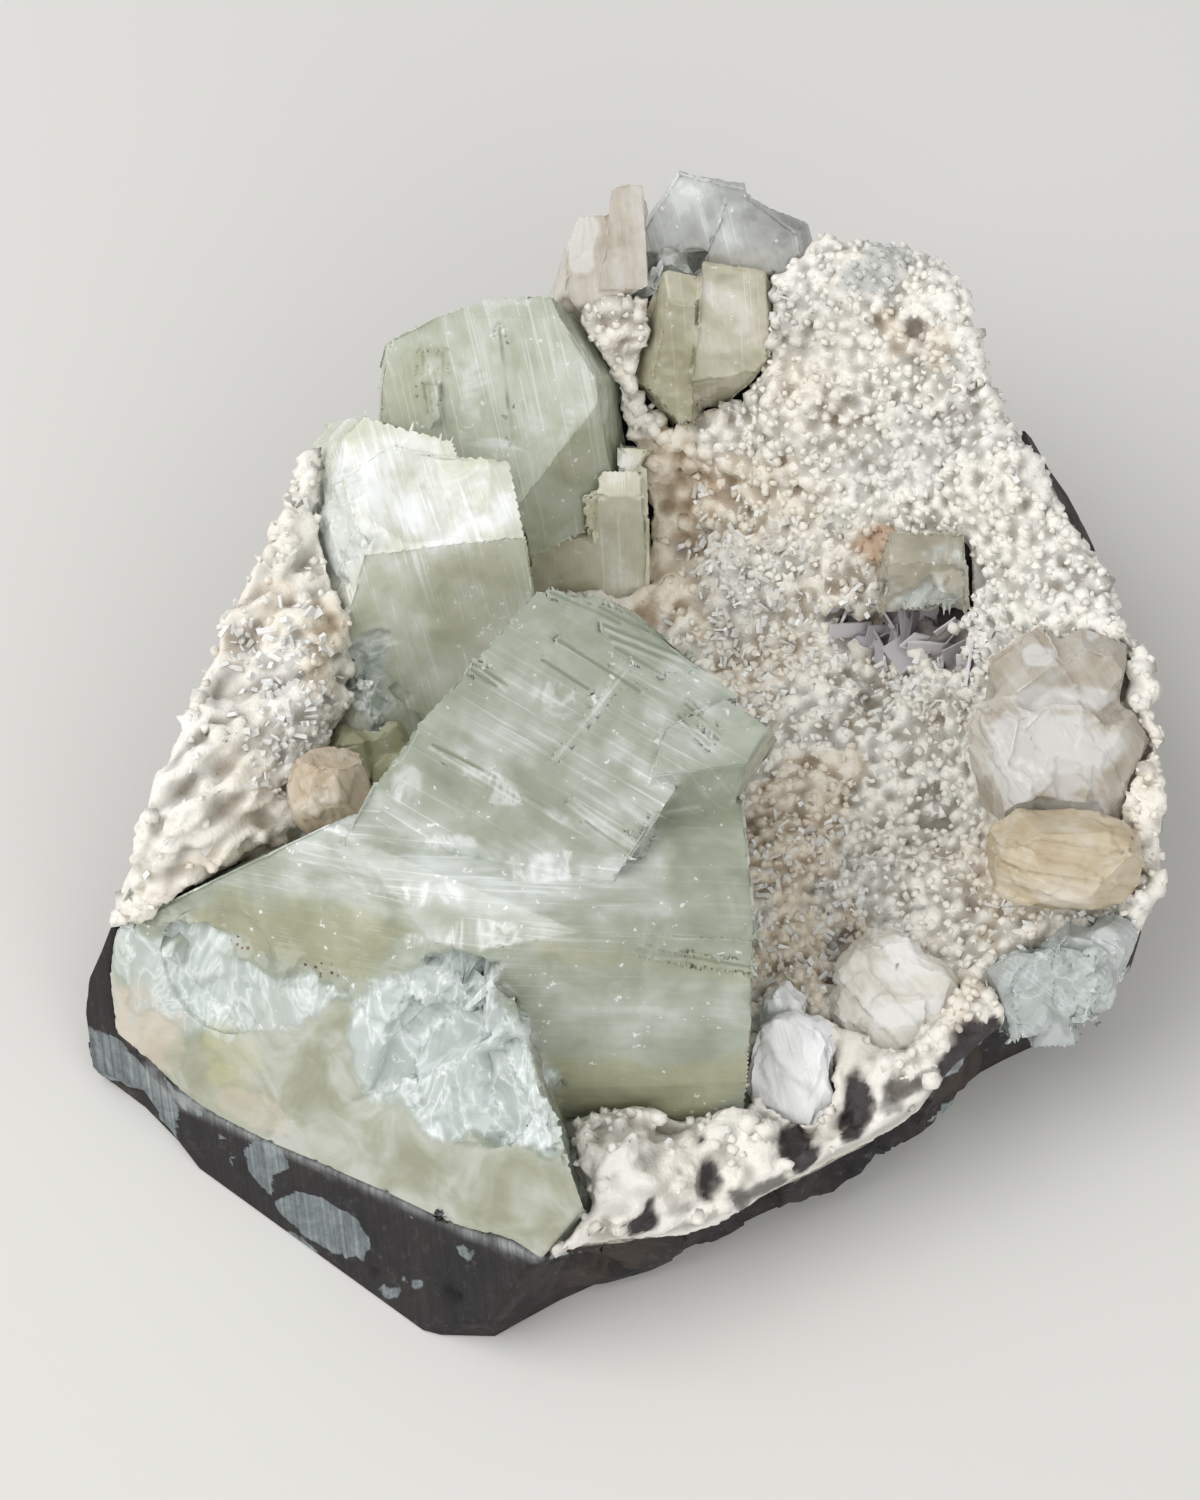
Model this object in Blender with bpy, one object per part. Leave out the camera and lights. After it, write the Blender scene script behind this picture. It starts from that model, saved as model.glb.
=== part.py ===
# Apophyllite cluster: a sawn chunk of basalt whose hollow is lined with white druse
# and carries large pale green apophyllite crystals and small peach stilbite crystals.
# It rests on its flat cut base. +X is right, +Y is away from the sawn face, +Z is up.

import math

import bmesh
import bpy
from mathutils import Matrix, Vector, noise

# Sizes are in millimetres, and MM turns them into the metres that the model is built in.
MM = 0.001
GAP = 0.3

# The sawn face: the way it faces, its tilt above the horizon and its distance from the middle.
SAW = (-128.3, 30.0, 46.4)

# The hollow: its middle, and how high the druse and the basalt lie on its floor.
HOLLOW_MIDDLE = (12.0, 0.0)
DRUSE_FLOOR = 14.5
BASALT_FLOOR = 9.0

# The flat cut base, corner by corner from the right, seen from above.
BASE_CORNERS = (
    (51.5, -6.0), (53.5, 5.0), (54.0, 16.0), (52.5, 27.0), (47.5, 35.0), (39.5, 39.0),
    (34.0, 43.0), (26.0, 45.0), (14.0, 49.5), (6.0, 50.0), (-2.0, 45.5), (-13.0, 41.5),
    (-22.0, 36.0), (-29.0, 26.0), (-33.0, 15.5), (-38.0, 2.0), (-43.0, -10.5), (-51.0, -19.0),
    (-52.6, -24.0), (-43.4, -32.4), (-37.2, -40.8), (-20.6, -53.8), (-12.5, -56.0),
    (-8.5, -53.8), (0.0, -48.5), (9.5, -44.5), (19.0, -40.0), (28.0, -34.0), (38.0, -25.5),
    (48.5, -19.5), (51.5, -14.0),
)

# The crest of the chunk in the same order: x, y, top of the druse, top of the basalt, and the
# parts of the way out from the hollow's middle where its wall starts and where it ends.
CREST = (
    (53.5, -6.0, 28.5, 23.5, 0.45, 0.97),
    (52.0, 3.0, 32.0, 27.0, 0.45, 0.97),
    (48.8, 10.5, 34.0, 29.5, 0.40, 1.00),
    (45.0, 18.5, 36.0, 32.0, 0.36, 1.00),
    (41.2, 25.2, 38.0, 34.0, 0.36, 1.00),
    (37.5, 31.5, 41.0, 36.0, 0.36, 1.00),
    (37.8, 37.5, 42.0, 37.0, 0.33, 0.98),
    (34.5, 43.5, 43.0, 38.0, 0.33, 0.97),
    (27.0, 46.8, 44.0, 38.5, 0.33, 0.96),
    (19.5, 47.6, 43.0, 38.5, 0.38, 0.97),
    (13.5, 52.5, 43.0, 37.5, 0.42, 0.96),
    (6.5, 52.6, 42.0, 36.5, 0.50, 0.94),
    (-0.5, 47.8, 39.0, 34.0, 0.56, 0.94),
    (-5.0, 44.6, 36.5, 32.0, 0.62, 0.95),
    (-14.0, 43.8, 35.5, 31.0, 0.66, 0.95),
    (-22.0, 37.6, 34.5, 30.0, 0.68, 0.93),
    (-24.8, 33.0, 34.0, 29.5, 0.66, 0.90),
    (-29.6, 27.0, 33.5, 28.5, 0.64, 0.88),
    (-32.6, 17.2, 32.0, 27.0, 0.62, 0.86),
    (-35.2, 10.5, 31.0, 26.0, 0.62, 0.84),
    (-40.0, 1.0, 29.5, 24.0, 0.63, 0.82),
    (-43.0, -10.8, 27.5, 21.5, 0.62, 0.82),
    (-49.6, -19.5, 24.5, 16.0, 0.62, 0.86),
    (-54.4, -24.0, 13.0, 7.0, 0.62, 0.92),
    (-44.0, -33.0, 12.0, 5.0, 0.50, 0.82),
    (-37.8, -41.4, 14.0, 6.5, 0.50, 0.82),
    (-21.2, -54.4, 13.5, 10.2, 0.50, 0.86),
    (-12.5, -56.6, 13.0, 12.4, 0.50, 0.88),
    (-8.6, -54.6, 15.0, 13.6, 0.50, 0.88),
    (-0.6, -50.8, 15.0, 11.0, 0.50, 0.90),
    (9.0, -48.0, 13.0, 9.0, 0.50, 0.90),
    (18.5, -43.8, 14.0, 9.5, 0.50, 0.90),
    (28.2, -37.8, 15.0, 10.5, 0.50, 0.92),
    (38.3, -29.8, 17.0, 11.5, 0.50, 0.94),
    (49.4, -23.4, 18.0, 12.5, 0.50, 0.95),
    (53.5, -18.0, 21.0, 16.0, 0.50, 0.96),
)

# How far up the side each ring of the rough wall lies, as a part of the crest's height, and
# how much of the way from the base outline to the crest outline it has gone: where the crest
# reaches out over the base, then where the base reaches out past the crest.
WALL_RINGS = (
    (0.0, 0.0, 0.0), (0.14, 0.35, 0.0), (0.34, 0.72, 0.05), (0.56, 0.94, 0.2), (0.78, 1.0, 0.5),
    (0.97, 1.0, 1.0),
)
WALL_SIDES = 80
WALL_TOP = 62.0
WALL_LUMP_SIZE = 10.5
WALL_ROUGHNESS = 2.8

# Mounds and pits of the druse: x, y, radius, height.
DRUSE_MOUNDS = (
    (28.5, 12.5, 4.5, -4.6),
    (23.3, -20.0, 2.2, -5.0),
    (14.5, 24.5, 4.2, 4.0),
    (1.5, 41.0, 4.0, 3.0),
    (21.0, 19.5, 3.6, 2.6),
    (24.5, 11.0, 3.2, 2.2),
    (44.0, -1.0, 7.5, 3.5),
    (33.0, -13.0, 5.0, 1.8),
    (26.0, -3.0, 5.0, -1.6),
    (-37.5, -5.0, 4.5, 1.8),
    (-41.0, -15.0, 4.5, 1.6),
    (-33.0, 8.0, 4.0, 1.4),
    (-31.5, 18.0, 4.5, 2.2),
    (-45.5, -19.5, 4.0, 1.4),
    (36.0, 35.0, 5.0, 1.4),
    (28.0, 41.5, 5.0, 1.6),
    (40.5, 21.0, 4.0, 1.4),
    (17.0, 47.0, 4.0, 1.2),
    (14.5, -41.5, 3.5, 1.2),
    (0.6, -45.0, 4.2, 3.6),
    (6.0, -42.0, 4.0, 1.6),
    (33.0, -30.5, 4.0, 1.2),
)
# How far the druse stands out past the basalt, and the rise of its lumps and of its grains.
DRUSE_OVERHANG = 0.6
DRUSE_LUMP = 1.7
DRUSE_GRAIN = 1.1
BASALT_LUMP = 0.5

# The grids that the druse and the basalt surfaces are laid on.
DRUSE_SPACING = 2.6
BASALT_SPACING = 5.9
BLOCK_BOTTOM = -10.0
GRID_REACH = 62.4

# Each crystal block: its middle, then its faces as azimuth, tilt and distance from the middle.
# Azimuth turns from +X to +Y, and tilt is above the horizon.
FRONT_BLOCK = ((-12.0, -26.0, 20.0), (
    (60.0, 86.5, 13.1), (-91.0, 26.0, 9.0), (-90.0, 3.0, 11.4), (-106.0, 37.0, 9.9),
    (-132.0, 40.5, 11.0), (-115.0, 66.0, 11.6), (3.0, -3.0, 25.2), (170.0, 25.0, 33.5),
    (125.0, 35.0, 19.8), (95.0, 15.0, 14.0), (0.0, -90.0, 18.0),
))
FRONT_ROOT = ((-18.0, -38.0, 14.0), (
    (-132.0, 40.5, 3.6), (13.5, 13.5, 13.2), (-50.0, -10.0, 19.4), (60.0, 30.0, 14.0),
    (165.0, 20.0, 26.0), (90.0, 0.0, 10.0), (0.0, -90.0, 12.0),
))
STRIATED_BLOCK = ((-3.0, -9.0, 30.0), (
    (-67.0, 68.5, 8.9), (86.0, 10.0, 13.2), (48.0, 12.0, 13.9), (33.0, 52.0, 15.4),
    (-30.0, -17.0, 9.6), (141.0, 4.0, 10.7), (-100.0, 35.0, 12.95), (165.0, 40.0, 17.6),
    (0.0, -90.0, 28.0),
))
END_CRYSTAL = ((10.1, -9.6, 34.7), (
    (-68.0, 69.0, 3.6), (-78.0, 8.0, 4.7), (170.0, 10.0, 5.2), (120.0, 20.0, 2.9),
    (55.0, 25.0, 4.4), (-30.0, -6.0, 4.8), (-45.0, 35.0, 5.4), (0.0, -90.0, 4.0),
))
# Hollows left where the front crystal has flaked: middle and radius.
FRONT_FLAKES = (
    ((-41.8, -29.9, 22.8), 11.0),
    ((-18.6, -46.2, 29.1), 13.0),
    ((-12.6, -43.1, 33.2), 11.0),
)

LEFT_BLOCK = ((-17.0, 14.0, 28.0), (
    (-118.0, 77.0, 9.9), (-90.0, 22.0, 5.5), (-122.0, 20.0, 10.3), (-58.0, 18.0, 9.6),
    (10.0, 5.0, 9.6), (-160.0, 22.0, 10.2), (130.0, 18.0, 13.5), (78.0, 12.0, 10.6),
    (-88.0, -30.0, 13.0), (0.0, -90.0, 11.0),
))
LEFT_SHOULDER = ((-24.0, 25.0, 29.0), (
    (-110.0, 62.0, 8.6), (-175.0, 20.0, 5.6), (-95.0, 10.0, 6.5), (70.0, 30.0, 7.0),
    (150.0, 35.0, 7.4), (20.0, 0.0, 8.0), (0.0, -90.0, 10.0),
))
LEFT_FOOT = ((-24.0, 3.2, 20.5), (
    (-95.0, 25.0, 3.2), (-150.0, 30.0, 3.2), (-35.0, 20.0, 3.0), (90.0, 40.0, 4.5),
    (30.0, 30.0, 4.0), (-90.0, -50.0, 4.0), (0.0, -90.0, 5.0), (170.0, 0.0, 4.0),
))
# The break that leaves the left crystal's top hollow.
LEFT_FLAKE = ((-19.0, 16.0, 52.0), 14.8)

UPPER_LEFT_BLOCK = ((-12.0, 36.0, 28.0), (
    (-86.0, 47.0, 6.5), (-58.0, 20.0, 9.6), (-80.0, 76.0, 11.0), (-150.0, 40.0, 13.0),
    (118.0, 25.0, 10.3), (180.0, 8.0, 11.9), (15.0, 30.0, 13.2), (-10.0, 12.0, 12.6),
    (95.0, 12.0, 8.4), (-115.0, 20.0, 9.6), (0.0, -90.0, 7.5),
))
UPPER_LEFT_INSET = ((-17.6, 34.4, 32.5), (
    (-86.0, 47.0, 3.2), (-150.0, 20.0, 2.0), (-15.0, 20.0, 2.0), (-80.0, 0.0, 3.4),
    (90.0, 50.0, 2.6), (165.0, 10.0, 2.4), (0.0, -90.0, 4.0),
))

POCKET_BLOCK = ((-3.0, 30.0, 20.0), (
    (-90.0, 20.0, 3.4), (-60.0, 60.0, 5.4), (2.0, 0.0, 7.4), (-178.0, 0.0, 8.0),
    (90.0, 20.0, 4.0), (0.0, -90.0, 9.0),
))
POCKET_PRISM = ((1.2, 28.6, 20.0), (
    (-90.0, 14.0, 2.2), (0.0, 4.0, 3.2), (180.0, 4.0, 2.6), (-90.0, 66.0, 5.6),
    (90.0, 10.0, 3.0), (0.0, -90.0, 9.0),
))
POCKET_PYRAMID = ((2.6, 33.0, 24.5), (
    (-73.0, 51.6, 1.95), (-125.0, -10.0, 1.7), (-25.0, -15.0, 1.25), (80.0, 40.0, 2.0),
    (0.0, -90.0, 5.0),
))

BACK_PRISM = ((7.0, 39.5, 34.0), (
    (-88.0, 28.0, 1.8), (-20.0, 10.0, 2.6), (-165.0, 20.0, 2.6), (-60.0, 70.0, 6.0),
    (-60.0, -40.0, 7.2), (-140.0, -20.0, 4.4), (90.0, -5.0, 4.0), (0.0, -90.0, 9.0),
))
BACK_BEIGE_PRISM = ((13.2, 40.0, 35.0), (
    (-84.0, 36.0, 1.8), (-15.0, 15.0, 3.9), (-175.0, 10.0, 4.6), (-60.0, 70.0, 6.4),
    (-30.0, -25.0, 3.7), (-80.0, -10.0, 3.2), (90.0, 0.0, 4.0), (0.0, -90.0, 8.0),
))

CROWN_PEAK = ((8.6, 49.5, 43.0), (
    (-88.0, 38.0, 2.6), (165.0, 25.0, 4.2), (60.0, 62.0, 5.9), (0.0, 10.0, 6.5),
    (90.0, -3.0, 2.6), (-90.0, -25.0, 3.4), (0.0, -90.0, 6.0),
))
CROWN_SIDE = ((15.6, 47.8, 41.0), (
    (-90.0, 42.0, 2.8), (35.0, 50.0, 4.7), (-10.0, 10.0, 4.8), (175.0, 20.0, 5.5),
    (90.0, -3.0, 2.9), (-90.0, -25.0, 3.2), (0.0, -90.0, 6.0),
))
CROWN_GLASS = ((6.6, 45.6, 39.8), (
    (-95.0, 40.0, 2.2), (0.0, 35.0, 2.6), (180.0, 30.0, 2.4), (80.0, 50.0, 3.0),
    (-90.0, -30.0, 2.2), (90.0, 0.0, 4.0), (0.0, -90.0, 3.5),
))

TOP_BLADE = ((2.0, 46.2, 42.0), (
    (-92.0, 30.0, 1.9), (-8.0, 8.0, 2.5), (176.0, 6.0, 2.4), (90.0, 0.0, 2.6),
    (-20.0, 62.0, 7.6), (160.0, 66.0, 8.0), (-90.0, 78.0, 8.1), (-90.0, -20.0, 3.6),
    (0.0, -90.0, 7.0),
))
TOP_BLADE_SIDE = ((-2.0, 45.6, 39.5), (
    (-96.0, 34.0, 1.9), (4.0, 0.0, 3.4), (178.0, 14.0, 2.6), (90.0, 0.0, 2.4),
    (-150.0, 55.0, 6.0), (60.0, 70.0, 7.6), (-90.0, -20.0, 3.4), (0.0, -90.0, 6.0),
))

# Stilbite domes: middle, half sizes, turn about the vertical and lean towards -Y.
LEFT_DOME = ((-26.8, -9.8, 27.0), (4.4, 3.8, 4.4), 12.0, 24.0)
RIGHT_DOME = ((44.2, -15.4, 23.6), (8.4, 4.8, 5.0), -4.0, 28.0)

RIGHT_BLOCK = ((32.0, 15.5, 27.5), (
    (-90.0, 25.0, 2.3), (-90.0, 80.0, 4.0), (0.0, 5.0, 4.5), (180.0, 5.0, 4.3),
    (90.0, 10.0, 3.8), (-90.0, -35.0, 3.4), (-50.0, 45.0, 5.0), (0.0, -90.0, 4.4),
))
# The cluster on the right: a stack of leaning blades, each with its middle, half sizes
# (across, deep, high), azimuth and lean.
CLUSTER_BLADES = (
    ((42.0, 0.5, 28.0), (4.2, 3.0, 7.0), 10.0, 20.0),
    ((47.2, 0.0, 28.5), (3.4, 3.4, 7.4), -12.0, 16.0),
    ((39.6, -4.6, 26.0), (3.4, 2.6, 6.0), 28.0, 26.0),
    ((44.6, -5.6, 26.6), (4.4, 3.2, 6.4), -6.0, 30.0),
    ((49.0, -6.6, 25.0), (3.0, 3.2, 6.6), -24.0, 18.0),
    ((41.8, -9.4, 23.6), (3.2, 2.4, 5.0), 16.0, 34.0),
)
FRONT_BLADES = (
    ((27.0, -24.6, 16.6), (4.4, 1.8, 4.6), 14.0, 42.0),
    ((30.6, -26.4, 15.8), (3.6, 1.7, 4.2), -22.0, 46.0),
    ((24.6, -26.6, 15.2), (2.8, 1.5, 3.6), 36.0, 40.0),
    ((28.4, -28.6, 14.6), (3.4, 1.5, 3.4), -4.0, 52.0),
)
PLATE_BLADES = (
    ((17.6, -33.6, 15.2), (4.2, 1.0, 5.2), -23.0, 38.0),
    ((18.6, -32.6, 14.0), (3.8, 1.2, 5.4), -12.0, 34.0),
    ((18.2, -35.8, 12.6), (3.6, 0.9, 3.8), -32.0, 46.0),
    ((17.0, -29.4, 14.2), (2.4, 1.6, 5.6), -6.0, 26.0),
)
CLEAR_BLADES = (
    ((41.0, -25.6, 16.0), (3.4, 2.4, 4.2), 20.0, 40.0),
    ((45.4, -24.2, 16.8), (3.6, 2.6, 4.4), -14.0, 34.0),
    ((48.4, -22.6, 17.0), (2.4, 2.4, 4.4), -34.0, 24.0),
    ((43.6, -27.0, 14.2), (2.8, 1.8, 3.4), 4.0, 50.0),
)
SMALL_CRYSTALS = (
    ((-22.0, -0.6, 18.6), (3.0, 2.4, 5.0), 40.0, 34.0),
    ((-25.2, -2.2, 20.0), (2.2, 2.0, 4.4), 12.0, 30.0),
    ((-19.4, -3.6, 18.2), (2.6, 2.2, 4.6), 66.0, 38.0),
)

# Every piece but the basalt and the druse: name, material, kind, shapes grown together, flakes.
PIECES = (
    ("apophyllite_front", "apophyllite", "faced",
     (FRONT_BLOCK, FRONT_ROOT, STRIATED_BLOCK, END_CRYSTAL), FRONT_FLAKES),
    ("apophyllite_left", "apophyllite", "faced", (LEFT_BLOCK, LEFT_SHOULDER, LEFT_FOOT), (LEFT_FLAKE,)),
    ("apophyllite_upper_left", "apophyllite", "faced", (UPPER_LEFT_BLOCK, UPPER_LEFT_INSET), ()),
    ("apophyllite_pocket", "apophyllite", "faced", (POCKET_BLOCK, POCKET_PRISM, POCKET_PYRAMID), ()),
    ("apophyllite_back", "apophyllite", "faced", (BACK_PRISM, BACK_BEIGE_PRISM), ()),
    ("apophyllite_crown", "clear apophyllite", "faced", (CROWN_PEAK, CROWN_SIDE, CROWN_GLASS), ()),
    ("apophyllite_right", "brown apophyllite", "faced", (RIGHT_BLOCK,), ()),
    ("stilbite_top", "stilbite", "faced", (TOP_BLADE, TOP_BLADE_SIDE), ()),
    ("stilbite_left", "stilbite", "dome", (LEFT_DOME,), ()),
    ("stilbite_right", "stilbite", "dome", (RIGHT_DOME,), ()),
    ("stilbite_cluster", "stilbite", "blade", CLUSTER_BLADES, ()),
    ("stilbite_blades", "stilbite", "blade", FRONT_BLADES, ()),
    ("cleavage_plates", "pearl", "blade", PLATE_BLADES, ()),
    ("clear_cluster", "clear apophyllite", "blade", CLEAR_BLADES, ()),
    ("apophyllite_small", "apophyllite", "blade", SMALL_CRYSTALS, ()),
)

# Colours as red, green, blue, then roughness.
COLOURS = {
    "basalt": ((0.075, 0.068, 0.068), 0.75),
    "druse": ((0.62, 0.58, 0.50), 0.55),
    "apophyllite": ((0.52, 0.58, 0.44), 0.12),
    "clear apophyllite": ((0.60, 0.62, 0.58), 0.10),
    "brown apophyllite": ((0.36, 0.33, 0.27), 0.15),
    "stilbite": ((0.68, 0.52, 0.36), 0.35),
    "pearl": ((0.80, 0.80, 0.78), 0.25),
}


def clear_scene():
    for obj in list(bpy.data.objects):
        bpy.data.objects.remove(obj, do_unlink=True)


def new_collection(name, hidden=False):
    collection = bpy.data.collections.new(name)
    bpy.context.scene.collection.children.link(collection)
    collection.hide_render = hidden
    return collection


def make_materials():
    made = {}
    for name, (colour, roughness) in COLOURS.items():
        material = bpy.data.materials.new(name)
        material.use_nodes = True
        shader = material.node_tree.nodes["Principled BSDF"]
        shader.inputs["Base Color"].default_value = (*colour, 1.0)
        shader.inputs["Roughness"].default_value = roughness
        shader.inputs["Metallic"].default_value = 0.0
        made[name] = material
    return made


def make_object(name, shape, material=None):
    # A piece with its material, or a hidden helper where no material is named.
    mesh = bpy.data.meshes.new(name)
    bmesh.ops.scale(shape, vec=(MM, MM, MM), verts=shape.verts)
    bmesh.ops.recalc_face_normals(shape, faces=shape.faces)
    shape.to_mesh(mesh)
    shape.free()
    obj = bpy.data.objects.new(name, mesh)
    obj.parent = root
    if material:
        mesh.materials.append(materials[material])
        nodes.objects.link(obj)
    else:
        helpers.objects.link(obj)
        obj.display_type = "WIRE"
        obj.hide_render = True
    return obj


def direction(azimuth, tilt):
    around, up = math.radians(azimuth), math.radians(tilt)
    return Vector((math.cos(up) * math.cos(around), math.cos(up) * math.sin(around), math.sin(up)))


def smooth(value):
    value = min(max(value, 0.0), 1.0)
    return value * value * (3.0 - 2.0 * value)


def on_outline(corners, angle):
    # The outline's point in this direction from the hollow's middle: its distance, and the
    # values that its two neighbouring corners carry, blended.
    ahead = Vector((math.cos(angle), math.sin(angle)))
    middle = Vector(HOLLOW_MIDDLE)
    for first, second in zip(corners, corners[1:] + corners[:1]):
        start = Vector(first[:2]) - middle
        end = Vector(second[:2]) - middle
        side = end - start
        across = ahead.cross(side)
        if abs(across) < 1e-9:
            continue
        distance = start.cross(side) / across
        part = start.cross(ahead) / across
        if distance > 0.0 and -1e-6 <= part <= 1.0 + 1e-6:
            carried = [a + (b - a) * part for a, b in zip(first[2:], second[2:])]
            return distance, carried
    raise ValueError("the outline has a gap")


def hollow_heights(x, y):
    away = Vector((x, y)) - Vector(HOLLOW_MIDDLE)
    reach, (druse, basalt, start, end) = on_outline(CREST, math.atan2(away.y, away.x))
    rise = smooth((away.length / reach - start) / (end - start))
    return DRUSE_FLOOR + (druse - DRUSE_FLOOR) * rise, BASALT_FLOOR + (basalt - BASALT_FLOOR) * rise


def lumps(x, y, size, seed):
    return noise.noise(Vector((x / size, y / size, seed)))


def basalt_height(x, y):
    return hollow_heights(x, y)[1] + BASALT_LUMP * lumps(x, y, 9.0, 3.7)


def druse_height(x, y):
    height = hollow_heights(x, y)[0]
    for middle_x, middle_y, radius, rise in DRUSE_MOUNDS:
        away = math.hypot(x - middle_x, y - middle_y) / radius
        height += rise * math.exp(-away * away)
    return height + DRUSE_LUMP * lumps(x, y, 6.5, 1.3) + DRUSE_GRAIN * lumps(x, y, 3.2, 8.9)


def surface_block(name, height, spacing, lift=0.0):
    # Solid ground under a height function, reaching past the chunk on every side.
    block = bmesh.new()
    steps = round(2.0 * GRID_REACH / spacing)
    bmesh.ops.create_grid(block, x_segments=steps, y_segments=steps, size=GRID_REACH)
    for vert in block.verts:
        vert.co.z = height(vert.co.x, vert.co.y) + lift
    bmesh.ops.triangulate(block, faces=block.faces[:], quad_method="SHORT_EDGE")
    rim = [edge for edge in block.edges if edge.is_boundary]
    skirt = bmesh.ops.extrude_edge_only(block, edges=rim)["geom"]
    for vert in (item for item in skirt if isinstance(item, bmesh.types.BMVert)):
        vert.co.z = BLOCK_BOTTOM
    bottom = [edge for edge in block.edges if edge.is_boundary]
    bmesh.ops.edgeloop_fill(block, edges=bottom)
    return make_object(name, block)


def wall_body(name, grow, material):
    # The chunk's outside: rings of a cylinder pushed out to the base and crest outlines.
    body = bmesh.new()
    bmesh.ops.create_cone(body, cap_ends=True, segments=WALL_SIDES, radius1=1.0, radius2=1.0, depth=1.0)
    bmesh.ops.translate(body, verts=body.verts, vec=(0.0, 0.0, 0.5))
    for number in range(1, len(WALL_RINGS)):
        whole = body.verts[:] + body.edges[:] + body.faces[:]
        level = number / len(WALL_RINGS)
        bmesh.ops.bisect_plane(body, geom=whole, plane_co=(0, 0, level), plane_no=(0, 0, 1))
    for vert in body.verts:
        angle = math.atan2(vert.co.y, vert.co.x)
        ring = round(vert.co.z * len(WALL_RINGS))
        base_reach = on_outline(BASE_CORNERS, angle)[0]
        crest_reach, carried = on_outline(CREST, angle)
        if ring < len(WALL_RINGS):
            up, inset_way, outset_way = WALL_RINGS[ring]
            out = inset_way if crest_reach > base_reach else outset_way
            height = up * carried[0]
        else:
            out, height = 1.0, WALL_TOP
        reach = base_reach + (crest_reach - base_reach) * out + grow
        x = HOLLOW_MIDDLE[0] + reach * math.cos(angle)
        y = HOLLOW_MIDDLE[1] + reach * math.sin(angle)
        rough = WALL_ROUGHNESS * noise.noise(Vector((x, y, height)) / WALL_LUMP_SIZE)
        outwards = (rough - 0.5) * (1.0 if 0 < ring < len(WALL_RINGS) - 1 else 0.25)
        vert.co = (x + outwards * math.cos(angle), y + outwards * math.sin(angle), height)
    cut_by_saw(body)
    return make_object(name, body, material)


def cut_flat(block, point, normal):
    whole = block.verts[:] + block.edges[:] + block.faces[:]
    cut = bmesh.ops.bisect_plane(
        block, geom=whole, dist=1e-5, plane_co=point, plane_no=normal, clear_outer=True
    )["geom_cut"]
    edges = [item for item in cut if isinstance(item, bmesh.types.BMEdge)]
    if edges:
        bmesh.ops.edgeloop_fill(block, edges=edges)


def cut_by_saw(block, clear=0.0):
    azimuth, tilt, distance = SAW
    normal = direction(azimuth, tilt)
    cut_flat(block, normal * (distance + clear), normal)


def planed_block(name, middle, planes, material, clear):
    # A cube cut down by planes, each a normal and a distance from the middle.
    block = bmesh.new()
    bmesh.ops.create_cube(block, size=160.0)
    bmesh.ops.translate(block, verts=block.verts, vec=middle)
    for normal, distance in planes:
        cut_flat(block, Vector(middle) + normal * (distance + clear), normal)
    cut_by_saw(block, clear)
    return make_object(name, block, material)


def faced_crystal(name, shape, material=None, clear=0.0):
    middle, faces = shape
    planes = [(direction(azimuth, tilt), distance) for azimuth, tilt, distance in faces]
    return planed_block(name, middle, planes, material, clear)


def blade(name, shape, material=None, clear=0.0):
    # A flat crystal with a bevelled, pointed top, turned and then leaned towards -Y.
    middle, (across, deep, high), turn, lean = shape
    turned = Matrix.Rotation(math.radians(turn), 3, "Z") @ Matrix.Rotation(math.radians(-lean), 3, "X")
    side, front, up = turned @ Vector((1, 0, 0)), turned @ Vector((0, -1, 0)), turned @ Vector((0, 0, 1))
    bevels = (
        (up + side * 0.8, 0.70 * high + 0.35 * across),
        (up - side * 0.9, 0.66 * high + 0.36 * across),
        (up + front * 0.7, 0.80 * high + 0.25 * deep),
        (side + front * 0.8, 0.62 * across + 0.48 * deep),
        (front - side * 0.8, 0.60 * across + 0.50 * deep),
    )
    planes = [(side, across), (-side, across), (front, deep), (-front, deep), (up, high), (-up, high)]
    planes += [(slant.normalized(), distance) for slant, distance in bevels]
    return planed_block(name, middle, planes, material, clear)


def dome(name, shape, material=None, clear=0.0):
    # A rounded bundle of stilbite: a ball squared off a little, then turned and leaned.
    middle, half, turn, lean = shape
    ball = bmesh.new()
    bmesh.ops.create_uvsphere(ball, u_segments=16, v_segments=10, radius=1.0)
    turned = Matrix.Rotation(math.radians(turn), 3, "Z") @ Matrix.Rotation(math.radians(-lean), 3, "X")
    for vert in ball.verts:
        squared = [math.copysign(abs(part) ** 0.75, part) for part in vert.co]
        sized = Vector([part * (reach + clear) for part, reach in zip(squared, half)])
        vert.co = Vector(middle) + turned @ sized
    return make_object(name, ball, material)


MAKERS = {"faced": faced_crystal, "blade": blade, "dome": dome}


def flake(name, shape):
    middle, radius = shape
    ball = bmesh.new()
    bmesh.ops.create_icosphere(ball, subdivisions=3, radius=radius)
    bmesh.ops.translate(ball, verts=ball.verts, vec=middle)
    return make_object(name, ball)


def boolean(target, cutter, operation="DIFFERENCE"):
    step = target.modifiers.new(cutter.name, "BOOLEAN")
    step.solver = "EXACT"
    step.operation = operation
    if isinstance(cutter, bpy.types.Collection):
        step.operand_type = "COLLECTION"
        step.collection = cutter
    else:
        step.object = cutter


def box_of(obj):
    corners = [vert.co for vert in obj.data.vertices]
    return [min(c[i] for c in corners) for i in range(3)], [max(c[i] for c in corners) for i in range(3)]


def near(first, second):
    (low_a, high_a), (low_b, high_b) = box_of(first), box_of(second)
    return all(low_a[i] < high_b[i] and low_b[i] < high_a[i] for i in range(3))


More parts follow.
